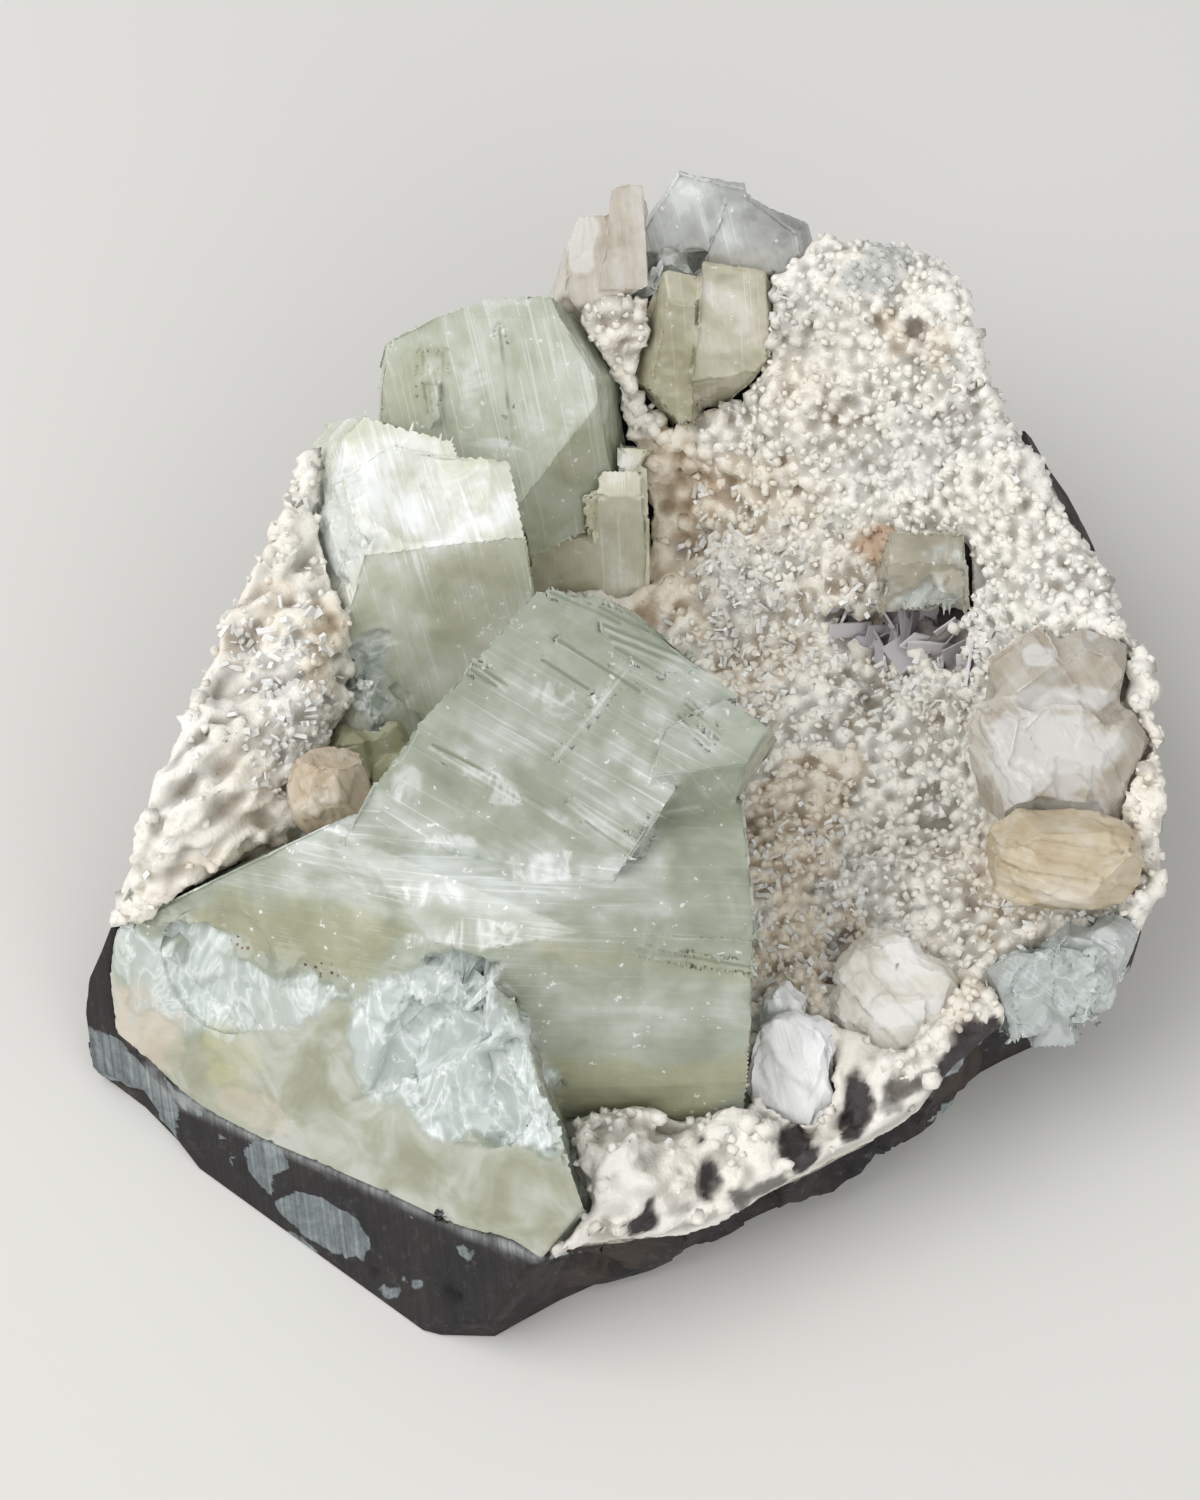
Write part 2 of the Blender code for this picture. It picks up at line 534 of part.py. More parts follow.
def make_piece(name, material, kind, shapes, flakes, ground):
    # One crystal, or several grown together, trimmed to the basalt and to the pieces before it.
    maker = MAKERS[kind]
    node = maker(name, shapes[0], material)
    grown = [maker(f"{name} part {number}", shape) for number, shape in enumerate(shapes[1:], 2)]
    for part in grown:
        boolean(node, part, "UNION")
    for number, shape in enumerate(flakes, 1):
        boolean(node, flake(f"{name} flake {number}", shape))
    boolean(node, ground)
    neighbours = [o for o in clearances.objects if any(near(o, part) for part in [node] + grown)]
    if neighbours:
        around = new_collection(f"around {name}", hidden=True)
        for neighbour in neighbours:
            around.objects.link(neighbour)
        boolean(node, around)
    for number, shape in enumerate(shapes, 1):
        room = maker(f"{name} room {number}", shape, None, GAP)
        clearances.objects.link(room)


def make_ground():
    basalt = wall_body("basalt_matrix", 0.0, "basalt")
    boolean(basalt, surface_block("basalt surface", basalt_height, BASALT_SPACING), "INTERSECT")
    return surface_block("basalt surface raised", basalt_height, BASALT_SPACING, GAP)


def keep_main_body(obj):
    # The cuts leave loose crumbs between crystals, which fall away.
    bpy.context.view_layer.update()
    graph = bpy.context.evaluated_depsgraph_get()
    whole = bmesh.new()
    whole.from_mesh(obj.evaluated_get(graph).to_mesh())
    obj.modifiers.clear()
    bodies, left = [], set(whole.verts)
    while left:
        body, edge_of_body = set(), [left.pop()]
        while edge_of_body:
            vert = edge_of_body.pop()
            body.add(vert)
            linked = {edge.other_vert(vert) for edge in vert.link_edges} & left
            left -= linked
            edge_of_body.extend(linked)
        bodies.append(body)
    main = max(bodies, key=len)
    bmesh.ops.delete(whole, geom=[vert for vert in whole.verts if vert not in main], context="VERTS")
    whole.to_mesh(obj.data)
    whole.free()


def make_druse(ground):
    druse = wall_body("druse_crust", DRUSE_OVERHANG, "druse")
    boolean(druse, surface_block("druse surface", druse_height, DRUSE_SPACING), "INTERSECT")
    boolean(druse, ground)
    boolean(druse, clearances)
    keep_main_body(druse)


def rest_on_origin():
    # The middle of the object's box comes over the origin, with the base at height zero.
    bpy.context.view_layer.update()
    graph = bpy.context.evaluated_depsgraph_get()
    corners = [Vector(corner) for obj in nodes.objects for corner in obj.evaluated_get(graph).bound_box]
    low = [min(corner[i] for corner in corners) for i in range(3)]
    high = [max(corner[i] for corner in corners) for i in range(3)]
    root.location = (-(low[0] + high[0]) / 2.0, -(low[1] + high[1]) / 2.0, -low[2])


clear_scene()
nodes = new_collection("apophyllite cluster")
helpers = new_collection("cutters", hidden=True)
clearances = new_collection("clearances", hidden=True)
materials = make_materials()
root = bpy.data.objects.new("apophyllite_cluster_root", None)
nodes.objects.link(root)

raised_ground = make_ground()
for piece in PIECES:
    make_piece(*piece, raised_ground)
make_druse(raised_ground)
rest_on_origin()
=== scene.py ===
# Apophyllite cluster on druse and sawn basalt, dressed for a picture.
import itertools
import math
import time

import bmesh
import bpy
import numpy as np
from mathutils import Matrix, Vector


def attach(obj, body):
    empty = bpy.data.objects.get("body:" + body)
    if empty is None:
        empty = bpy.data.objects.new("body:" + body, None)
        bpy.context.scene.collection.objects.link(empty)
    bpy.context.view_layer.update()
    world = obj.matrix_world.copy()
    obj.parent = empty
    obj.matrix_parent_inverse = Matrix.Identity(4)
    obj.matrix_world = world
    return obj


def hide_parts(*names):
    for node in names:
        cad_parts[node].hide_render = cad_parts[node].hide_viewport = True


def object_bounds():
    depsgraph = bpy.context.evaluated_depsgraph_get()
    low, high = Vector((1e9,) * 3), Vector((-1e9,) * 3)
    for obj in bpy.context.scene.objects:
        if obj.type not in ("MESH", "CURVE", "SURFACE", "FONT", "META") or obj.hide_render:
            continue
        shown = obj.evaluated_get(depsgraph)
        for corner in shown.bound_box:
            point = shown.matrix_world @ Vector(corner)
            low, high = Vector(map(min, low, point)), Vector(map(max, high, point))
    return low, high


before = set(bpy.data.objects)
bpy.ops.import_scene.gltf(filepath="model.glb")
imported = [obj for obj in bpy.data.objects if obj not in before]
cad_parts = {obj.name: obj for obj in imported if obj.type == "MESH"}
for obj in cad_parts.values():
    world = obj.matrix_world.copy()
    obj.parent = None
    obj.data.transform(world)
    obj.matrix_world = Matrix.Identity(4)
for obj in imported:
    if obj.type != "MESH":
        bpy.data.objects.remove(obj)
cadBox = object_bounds()
began = time.time()

# The camera, and where the drawing's own zero lies in the frame, in metres.
shot = {
    "drawnAt": (-0.001259, 0.001401, 0.0),
    "target": (-0.0006, 0.0, 0.020),
    "distance": 0.420,
    "rise": 55.0,
    "lens": 100.8,
    "sensor": 36.0,
    "width": 1200,
    "height": 1500,
}
rise = math.radians(shot["rise"])
viewRight = np.array((1.0, 0.0, 0.0))
viewAhead = np.array((0.0, math.cos(rise), -math.sin(rise)))
viewUp = np.array((0.0, math.sin(rise), math.cos(rise)))
viewTarget = np.array(shot["target"]) + np.array(shot["drawnAt"])
eye = viewTarget - viewAhead * shot["distance"]


def inPicture(points):
    # Where points fall in the picture, in its pixels from the upper left corner.
    away = points - eye
    scale = shot["height"] * shot["lens"] / shot["sensor"] / (away @ viewAhead)
    across = shot["width"] / 2 + (away @ viewRight) * scale
    return np.stack((across, shot["height"] / 2 - (away @ viewUp) * scale), axis=1)


def direction(azimuth, tilt):
    around, up = math.radians(azimuth), math.radians(tilt)
    return np.array((math.cos(up) * math.cos(around), math.cos(up) * math.sin(around), math.sin(up)))


def hashed(cell, seed):
    # A number from 0 to 1 for each whole-numbered cell.
    mixed = cell[:, 0] * 73856093 ^ cell[:, 1] * 19349663 ^ cell[:, 2] * 83492791 ^ (seed * 40503 + 977)
    mixed = (mixed ^ mixed >> 15) * 668265263 & 0xFFFFFFFF
    mixed = (mixed ^ mixed >> 13) * 374761393 & 0xFFFFFFFF
    return ((mixed ^ mixed >> 16) & 0xFFFF) / 65536.0


def softNoise(points, size, seed):
    # Smooth ups and downs from -1 to 1, about size apart.
    cells = points / size
    low = np.floor(cells).astype(np.int64)
    part = cells - low
    blend = part * part * (3 - 2 * part)
    total = np.zeros(len(points))
    for corner in itertools.product((0, 1), repeat=3):
        weight = np.prod(np.where(corner, blend, 1 - blend), axis=1)
        total += weight * hashed(low + np.array(corner), seed)
    return total * 2 - 1


def roughNoise(points, size, seed, layers=3):
    return sum(softNoise(points, size / 2 ** n, seed + n) / 2 ** n for n in range(layers))


def cellNoise(points, size, seed):
    # How far the nearest of the scattered points is, in cells, and a tone for each.
    cells = points / size
    low = np.floor(cells).astype(np.int64)
    near = np.full(len(points), 9.0)
    tone = np.zeros(len(points))
    for step in itertools.product((-1, 0, 1), repeat=3):
        cell = low + np.array(step)
        middle = cell + np.stack([hashed(cell, seed + n) for n in range(3)], axis=1)
        away = np.linalg.norm(cells - middle, axis=1)
        tone = np.where(away < near, hashed(cell, seed + 3), tone)
        near = np.minimum(near, away)
    return near, tone


def ease(values, low, high):
    part = np.clip((values - low) / (high - low), 0.0, 1.0)
    return part * part * (3 - 2 * part)


def spots(points, places, fuzz):
    # A mask that is 1 inside the listed ellipses of the picture.
    # Each is its middle's x and y, half its width and height, its turn and its strength.
    at = inPicture(points)
    ragged = roughNoise(points, 0.003, 5)
    mask = np.zeros(len(points))
    for x, y, wide, high, turn, strength in places:
        c, s = math.cos(math.radians(turn)), math.sin(math.radians(turn))
        dx, dy = at[:, 0] - x, at[:, 1] - y
        away = np.hypot((dx * c + dy * s) / wide, (dy * c - dx * s) / high) + ragged * fuzz
        mask = np.maximum(mask, strength * (1 - ease(away, 0.7, 1.15)))
    return mask


def toSegment(at, start, end):
    # How far each place of the picture is from a line between two places, in pixels.
    start, along = np.array(start, float), np.array(end, float) - np.array(start, float)
    part = np.clip((at - start) @ along / (along @ along), 0, 1)
    return np.linalg.norm(at - start - part[:, None] * along, axis=1)


def patches(points, shapes, soft, ragged):
    # A mask that is 1 inside the listed outlines of the picture, each a strength and its corners.
    at = inPicture(points)
    wobble = ragged * roughNoise(points, 0.0035, 6, 4)
    mask = np.zeros(len(points))
    for strength, corners in shapes:
        inside = np.zeros(len(points), bool)
        away = np.full(len(points), 1e9)
        for (x1, y1), (x2, y2) in zip(corners, corners[1:] + corners[:1]):
            away = np.minimum(away, toSegment(at, (x1, y1), (x2, y2)))
            crosses = (at[:, 1] < y1) != (at[:, 1] < y2)
            inside ^= crosses & (at[:, 0] < x1 + (at[:, 1] - y1) * (x2 - x1) / ((y2 - y1) or 1e-9))
        depth = np.where(inside, away, -away) + wobble
        mask = np.maximum(mask, strength * ease(depth, -soft, soft))
    return mask


def alongLines(points, lines, width):
    # A mask that is 1 on the listed lines of the picture: x1, y1, x2, y2.
    at = inPicture(points)
    mask = np.zeros(len(points))
    for x1, y1, x2, y2 in lines:
        mask = np.maximum(mask, 1 - ease(toSegment(at, (x1, y1), (x2, y2)), 0, width))
    return mask


def facetNoise(points, size, seed):
    # A chipped surface: every cell is its own tilted plane.
    cells = points / size
    low = np.floor(cells).astype(np.int64)
    near = np.full(len(points), 9.0)
    height = np.zeros(len(points))
    for step in itertools.product((-1, 0, 1), repeat=3):
        cell = low + np.array(step)
        offset = cells - cell - np.stack([hashed(cell, seed + n) for n in range(3)], axis=1)
        tilt = np.stack([hashed(cell, seed + n) - 0.5 for n in range(4, 7)], axis=1)
        away = np.linalg.norm(offset, axis=1)
        here = np.sum(offset * tilt, axis=1) * 2 + hashed(cell, seed + 8) - 0.5
        height = np.where(away < near, here, height)
        near = np.minimum(near, away)
    return height


def lineInPicture(turn, facing):
    # The direction in a face that the camera sees at this turn below the horizontal.
    across, up = math.cos(math.radians(turn)), -math.sin(math.radians(turn))
    ahead = -(across * (viewRight @ facing) + up * (viewUp @ facing)) / (viewAhead @ facing)
    line = viewRight * across + viewUp * up + viewAhead * ahead
    return line / np.linalg.norm(line)


def grainTurn(turn, facing):
    # The rotation of a pattern whose X runs along that line and whose Z stands on the face.
    line = Vector(lineInPicture(turn, facing))
    stand = Vector(facing).normalized()
    return Matrix((line, stand.cross(line), stand)).transposed().to_euler()


def toLinear(hexColour):
    parts = [int(hexColour[n:n + 2], 16) / 255 for n in (1, 3, 5)]
    return tuple(c / 12.92 if c <= 0.04045 else ((c + 0.055) / 1.055) ** 2.4 for c in parts) + (1.0,)


def connect(tree, node, links):
    # Feeds inputs, by name or number, from a node's first output or from the one given with it.
    for key, given in links.items():
        source, output = given if isinstance(given, tuple) else (given, 0)
        tree.links.new(source.outputs[output], node.inputs[key])


def addNode(tree, kind, settings=None, links=None):
    node = tree.nodes.new(kind)
    for key, value in (settings or {}).items():
        if key == "stops":
            while len(node.color_ramp.elements) < len(value):
                node.color_ramp.elements.new(0.5)
            for element, (place, colour) in zip(node.color_ramp.elements, value):
                element.position = place
                element.color = toLinear(colour)
        elif isinstance(key, int) or key in node.inputs:
            node.inputs[key].default_value = value
        else:
            setattr(node, key, value)
    connect(tree, node, links or {})
    return node


def paintOver(tree, colour, layers):
    # Lays each paint, a hex colour or a node, over the colour as thickly as its cover says.
    for cover, paint in layers:
        settings, links = {"data_type": "RGBA"}, {0: cover, 6: colour}
        if isinstance(paint, str):
            settings[7] = toLinear(paint)
        else:
            links[7] = paint
        colour = (addNode(tree, "ShaderNodeMix", settings, links), 2)
    return colour


def masksOf(tree, names):
    # The painted masks of the mesh, one output each.
    return [(addNode(tree, "ShaderNodeAttribute", {"attribute_name": name}), "Fac") for name in names]


def newMaterial(name, settings):
    material = bpy.data.materials.new(name)
    material.use_nodes = True
    tree = material.node_tree
    shader = tree.nodes["Principled BSDF"]
    for key, value in settings.items():
        shader.inputs[key].default_value = value
    place = (addNode(tree, "ShaderNodeTexCoord"), "Object")
    return material, tree, shader, place


def mergedCopy(node):
    shape = bmesh.new()
    shape.from_mesh(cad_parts[node].data)
    bmesh.ops.remove_doubles(shape, verts=shape.verts, dist=3e-6)
    return shape


def splitLong(shape, longest):
    # Splits edges until none is longer than longest gives for its middle and its faces' directions.
    edges = shape.edges[:]
    for _ in range(16):
        shape.normal_update()
        ends = np.array([vert.co[:] for edge in edges for vert in edge.verts]).reshape(-1, 2, 3)
        facing = np.array([edge.link_faces[0].normal[:] for edge in edges])
        tooLong = np.linalg.norm(ends[:, 0] - ends[:, 1], axis=1) > longest(ends.mean(axis=1), facing)
        cut = [edge for edge, long in zip(edges, tooLong) if long]
        if not cut:
            break
        made = bmesh.ops.subdivide_edges(shape, edges=cut, cuts=1)
        split = [edge for edge in made["geom"] if isinstance(edge, bmesh.types.BMEdge)]
        corners = list({face for edge in split for face in edge.link_faces if len(face.verts) > 3})
        more = bmesh.ops.triangulate(shape, faces=corners, quad_method="SHORT_EDGE")
        edges = list({edge for face in more["faces"] for edge in face.edges})


def refinedCopy(node, seen, hidden, lines=()):
    # The node's shape with small triangles where a viewer sees it, smallest beside the lines.
    def longest(middles, facing):
        towards = facing @ -viewAhead
        length = np.where(towards > 0.02, seen, hidden)
        length = np.where((towards <= 0.02) & (facing[:, 2] > -0.2), (seen + hidden) / 2, length)
        if lines:
            length = np.where((towards > 0.02) & (alongLines(middles, lines, 6.0) > 0), 0.00019, length)
        return length
    shape = mergedCopy(node)
    shape.normal_update()
    splitLong(shape, longest)
    mesh = bpy.data.meshes.new(node + "Refined")
    shape.to_mesh(mesh)
    shape.free()
    return mesh


def joined(shapes):
    whole = bmesh.new()
    for shape in shapes:
        whole.from_mesh(shape)
    mesh = bpy.data.meshes.new("joined")
    whole.to_mesh(mesh)
    whole.free()
    return mesh


def voxelMesh(mesh, size):
    # One closed skin around everything in the mesh, of voxels of this size.
    obj = bpy.data.objects.new("voxels", mesh)
    bpy.context.scene.collection.objects.link(obj)
    remesh = obj.modifiers.new("remesh", "REMESH")
    remesh.mode = "VOXEL"
    remesh.voxel_size = size
    graph = bpy.context.evaluated_depsgraph_get()
    made = bpy.data.meshes.new_from_object(obj.evaluated_get(graph))
    bpy.data.objects.remove(obj)
    return made


def smoothed(mesh, points, rounds):
    # The mesh's points, each moved towards its neighbours this many times.
    ends = np.empty(len(mesh.edges) * 2, np.int64)
    mesh.edges.foreach_get("vertices", ends)
    first, last = ends[0::2], ends[1::2]
    count = np.bincount(ends, minlength=len(points))[:, None]
    for _ in range(rounds):
        around = np.stack([np.bincount(first, points[last, n], len(points))
                           + np.bincount(last, points[first, n], len(points)) for n in range(3)], axis=1)
        points = (points + around / count) / 2
    return points


def readPoints(mesh):
    flat = np.empty(len(mesh.vertices) * 3)
    mesh.vertices.foreach_get("co", flat)
    return flat.reshape(-1, 3)


def readNormals(mesh):
    flat = np.empty(len(mesh.vertices) * 3)
    mesh.vertex_normals.foreach_get("vector", flat)
    return flat.reshape(-1, 3)


def readFaces(mesh):
    normals = np.empty(len(mesh.polygons) * 3)
    middles = np.empty(len(mesh.polygons) * 3)
    mesh.polygons.foreach_get("normal", normals)
    mesh.polygons.foreach_get("center", middles)
    return normals.reshape(-1, 3), middles.reshape(-1, 3)


def writePoints(mesh, points):
    low, high = np.array(cadBox[0]), np.array(cadBox[1])
    mesh.vertices.foreach_set("co", np.clip(points, low, high).ravel())
    mesh.update()


def writeMask(mesh, name, values):
    layer = mesh.attributes.get(name) or mesh.attributes.new(name, "FLOAT", "POINT")
    layer.data.foreach_set("value", np.clip(values, 0.0, 1.0).astype(np.float32))


def finishPiece(name, mesh, material, nodes, crease):
    piece = bpy.data.objects.new(name, mesh)
    bpy.context.scene.collection.objects.link(piece)
    mesh.materials.clear()
    mesh.materials.append(material)
    mesh.polygons.foreach_set("use_smooth", [True] * len(mesh.polygons))
    if crease:
        mesh.set_sharp_from_angle(angle=math.radians(crease))
    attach(piece, "root")
    if nodes:
        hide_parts(*nodes)
    print(name, len(mesh.polygons), "faces,", round(time.time() - began, 1), "s")
    return piece


sawNormal = direction(-128.3, 30.0)
sawDistance = 0.0464 + float(sawNormal @ np.array(shot["drawnAt"]))


def onSaw(points):
    return 1 - ease(np.abs(points @ sawNormal - sawDistance), 0.0004, 0.0010)


# Basalt: fine-grained lava, sawn at the lower left and below, broken elsewhere.
basalt = {
    "dark": "#302e30",
    "brown": "#3e3a38",
    "speck": "#7a7775",
    "filling": "#97a1a2",
    "fillingPale": "#b9c1c0",
    "shadow": "#242022",
    "sawShadow": "#1d1b1c",
    # The near-black of the painted shade inside the open bubbles.
    "fillingDark": "#7d898d",
    "hole": "#151213",
    "seam": "#c6cccb",
    "lining": "#ded9cd",
    "stain": "#57493f",
    "grain": 0.00055,
    "roughness": 0.75,
    # Broken faces: depth, size and seed.
    "chips": ((0.0030, 0.016, 31), (0.0016, 0.0062, 41)),
    "gritDeep": 0.0005,
    "sunk": 0.0008,
    "proud": 0.0004,
    "holeDeep": 0.0007,
    # Gas bubbles filled with pale zeolite on the sawn face.
    "bubbles": (
        (1.0, [(276, 1205), (290, 1193), (325, 1197), (357, 1220), (369, 1242), (362, 1257), (335, 1255),
               (300, 1232)]),
        (1.0, [(243, 1150), (255, 1140), (278, 1145), (288, 1166), (272, 1174), (268, 1184), (276, 1199),
               (262, 1184), (250, 1172)]),
        (1.0, [(278, 1235), (292, 1232), (317, 1250), (314, 1263), (290, 1252)]),
        (1.0, [(80, 1020), (122, 1040), (152, 1078), (178, 1108), (176, 1146), (150, 1135), (110, 1100),
               (70, 1060)]),
        (0.9, [(380, 1285), (400, 1290), (398, 1300), (382, 1294)]),
        (0.9, [(394, 1278), (422, 1280), (418, 1289)]),
        (0.9, [(453, 1246), (473, 1250), (464, 1261)]), (0.8, [(192, 1106), (204, 1112), (200, 1120)]),
        (0.8, [(214, 1130), (226, 1136), (222, 1146)]), (0.8, [(228, 1150), (238, 1156), (232, 1166)]),
        (0.8, [(330, 1270), (342, 1274), (336, 1280)]), (0.7, [(409, 1215), (418, 1219), (412, 1226)]),
    ),
    "veins": ((173, 1092, 200, 1106), (200, 1106, 232, 1117), (166, 1080, 186, 1110)),
    "sawnHoles": ((453, 1297, 10, 7, 20, 1.0), (375, 1273, 6, 4, 0, 0.8)),
    # The pale line where crystal meets basalt.
    "seamLines": ((150, 1072, 160, 1090), (160, 1090, 277, 1144), (277, 1144, 336, 1168),
                  (336, 1168, 471, 1232), (471, 1232, 538, 1254), (538, 1254, 600, 1244)),
}


def basaltMaterial():
    # Matte grey-brown lava with a salt-and-pepper grain, pale mottled fillings and open bubbles painted dark
    # with shade.
    material, tree, shader, place = newMaterial("basalt", {"Roughness": basalt["roughness"],
                                                           "Specular IOR Level": 0.35})
    filled, hole, seam = masksOf(tree, ("filled", "hole", "seam"))
    lining, stain, cut = masksOf(tree, ("lining", "stain", "cut"))
    grain = addNode(tree, "ShaderNodeTexNoise", {"Scale": 0.5 / basalt["grain"], "Detail": 4.0,
                                                 "Roughness": 0.75}, {"Vector": place})
    mottle = addNode(tree, "ShaderNodeTexNoise", {"Scale": 150.0, "Detail": 4.0}, {"Vector": place})
    ground = addNode(tree, "ShaderNodeValToRGB", {"stops": ((0.35, basalt["dark"]), (0.65, basalt["brown"]))},
                     {"Fac": mottle})
    pale = addNode(tree, "ShaderNodeMapRange", {"From Min": 0.56, "From Max": 0.74, "To Max": 0.45},
                   {"Value": grain})
    dark = addNode(tree, "ShaderNodeMapRange", {"From Min": 0.46, "From Max": 0.3, "To Max": 0.6},
                   {"Value": grain})
    ragged = addNode(tree, "ShaderNodeTexNoise", {"Scale": 1100.0, "Detail": 4.0, "Roughness": 0.65},
                     {"Vector": place})
    edge = addNode(tree, "ShaderNodeMath", {"operation": "MULTIPLY_ADD", 1: 0.9}, {0: ragged, 2: filled})
    inside = addNode(tree, "ShaderNodeMapRange", {"From Min": 0.86, "From Max": 1.04}, {"Value": edge})
    marble = addNode(tree, "ShaderNodeTexNoise", {"Scale": 480.0, "Detail": 5.0, "Roughness": 0.7,
                                                  "Distortion": 0.8}, {"Vector": place})
    shades = ((0.3, basalt["fillingDark"]), (0.5, basalt["filling"]), (0.7, basalt["fillingPale"]))
    filling = addNode(tree, "ShaderNodeValToRGB", {"stops": shades}, {"Fac": marble})
    saws = addNode(tree, "ShaderNodeMapping", {"vector_type": "TEXTURE", "Rotation": grainTurn(84, sawNormal),
                                               "Scale": (0.02, 0.00035, 0.01)}, {"Vector": place})
    scratch = addNode(tree, "ShaderNodeTexNoise", {"Scale": 1.0, "Detail": 3.0}, {"Vector": saws})
    scratch = addNode(tree, "ShaderNodeMath", {"operation": "MULTIPLY"}, {0: scratch, 1: cut})
    shadow = addNode(tree, "ShaderNodeMath", {"operation": "MULTIPLY", 1: 0.95}, {0: cut})
    shadow = addNode(tree, "ShaderNodeMath", {"operation": "MULTIPLY"}, {0: shadow, 1: scratch})
    colour = paintOver(tree, ground, (
        (pale, basalt["speck"]), (dark, basalt["shadow"]), (inside, filling), (hole, basalt["hole"]),
        (seam, basalt["seam"]), (lining, basalt["lining"]), (stain, basalt["stain"]),
        (shadow, basalt["sawShadow"])))
    tall = addNode(tree, "ShaderNodeMath", {"operation": "MULTIPLY_ADD", 1: 0.8}, {0: scratch, 2: grain})
    bump = addNode(tree, "ShaderNodeBump", {"Strength": 0.7, "Distance": 0.00035}, {"Height": tall})
    connect(tree, shader, {"Base Color": colour, "Normal": bump})
    return material


def makeBasalt():
    mesh = refinedCopy("basalt_matrix", 0.0011, 0.0015, basalt["seamLines"])
    points, normals = readPoints(mesh), readNormals(mesh)
    saw = onSaw(points)
    low = 1 - 0.85 * (1 - ease(points[:, 2], 0.0, 0.004))
    wall = (1 - saw) * low * (1 - ease(normals[:, 2], 0.4, 0.75)) * (points[:, 2] > 0.00005)
    bent = points + 0.0025 * np.stack([roughNoise(points, 0.006, seed) for seed in (21, 22, 23)], axis=1)
    rough = sum(deep * facetNoise(bent, size, seed) for deep, size, seed in basalt["chips"])
    rough += basalt["gritDeep"] * roughNoise(points, 0.0022, 14) - basalt["sunk"]
    points = points + normals * (wall * np.minimum(rough, basalt["proud"]))[:, None]
    filled = patches(points, basalt["bubbles"], 3, 3) * ease(saw, 0.2, 0.6)
    filled = np.maximum(filled, alongLines(points, basalt["veins"], 4) * saw * 0.9)
    near, tone = cellNoise(bent, 0.010, 77)
    size = 0.06 + 0.30 * tone ** 2
    filled = np.maximum(filled, (1 - ease(near, size * 0.6, size)) * (tone > 0.4) * (1 - saw))
    near, tone = cellNoise(points, 0.0045, 91)
    # Open bubbles: sunk, and painted near-black as the shade inside them.
    hole = (1 - ease(near, 0.12, 0.2)) * (tone > 0.62) * (1 - filled) * wall
    hole = np.maximum(hole, spots(points, basalt["sawnHoles"], 0.1) * saw)
    points = points - normals * (hole * basalt["holeDeep"])[:, None]
    seam = alongLines(points, basalt["seamLines"], 12)
    writePoints(mesh, points)
    writeMask(mesh, "filled", filled)
    writeMask(mesh, "hole", hole)
    writeMask(mesh, "cut", np.maximum(saw, 1 - ease(points[:, 2], 0.0, 0.0005)))
    writeMask(mesh, "seam", seam * saw * (0.7 + 0.4 * roughNoise(points, 0.002, 8)))
    writeMask(mesh, "lining", ease(normals[:, 2], 0.7, 0.85) * (1 - saw))
    writeMask(mesh, "stain", 0.45 * ease(roughNoise(points, 0.007, 55, 4), 0.1, 0.9) * wall)
    return finishPiece("basaltRock", mesh, basaltMaterial(), ["basalt_matrix"], 28)


# Druse: a white to cream crust of tiny rounded crystals over the basalt.
druse = {
    "voxel": 0.00075,
    "skin": 0.00047,
    "roughness": 0.55,
    "skinScale": 1300.0,
    "shadeScale": 170.0,
    # The low ends of these ramps are the painted shade between and under the grains; the high ends are their
    # lit tops.
    "coolStops": ((0.0, "#8c8476"), (0.4, "#b9b7b0"), (0.8, "#f1eee6")),
    "tannedStops": ((0.0, "#8a7660"), (0.35, "#b8a790"), (0.8, "#e9dfce")),
    "greyed": "#b7bab8",
    "between": "#3a3435",
    "pitTintAndShade": "#857d7a",
    "rusty": "#c6ad95",
    "foldHigh": 0.0020,
    "lumpHigh": 0.0006,
    "sunk": 0.0007,
    "darkDeep": 0.0012,
    "pitDeep": 0.0020,
    "fuzzHigh": 0.00012,
    "threadHigh": 0.0010,
    "bulgeHigh": 0.00022,
}

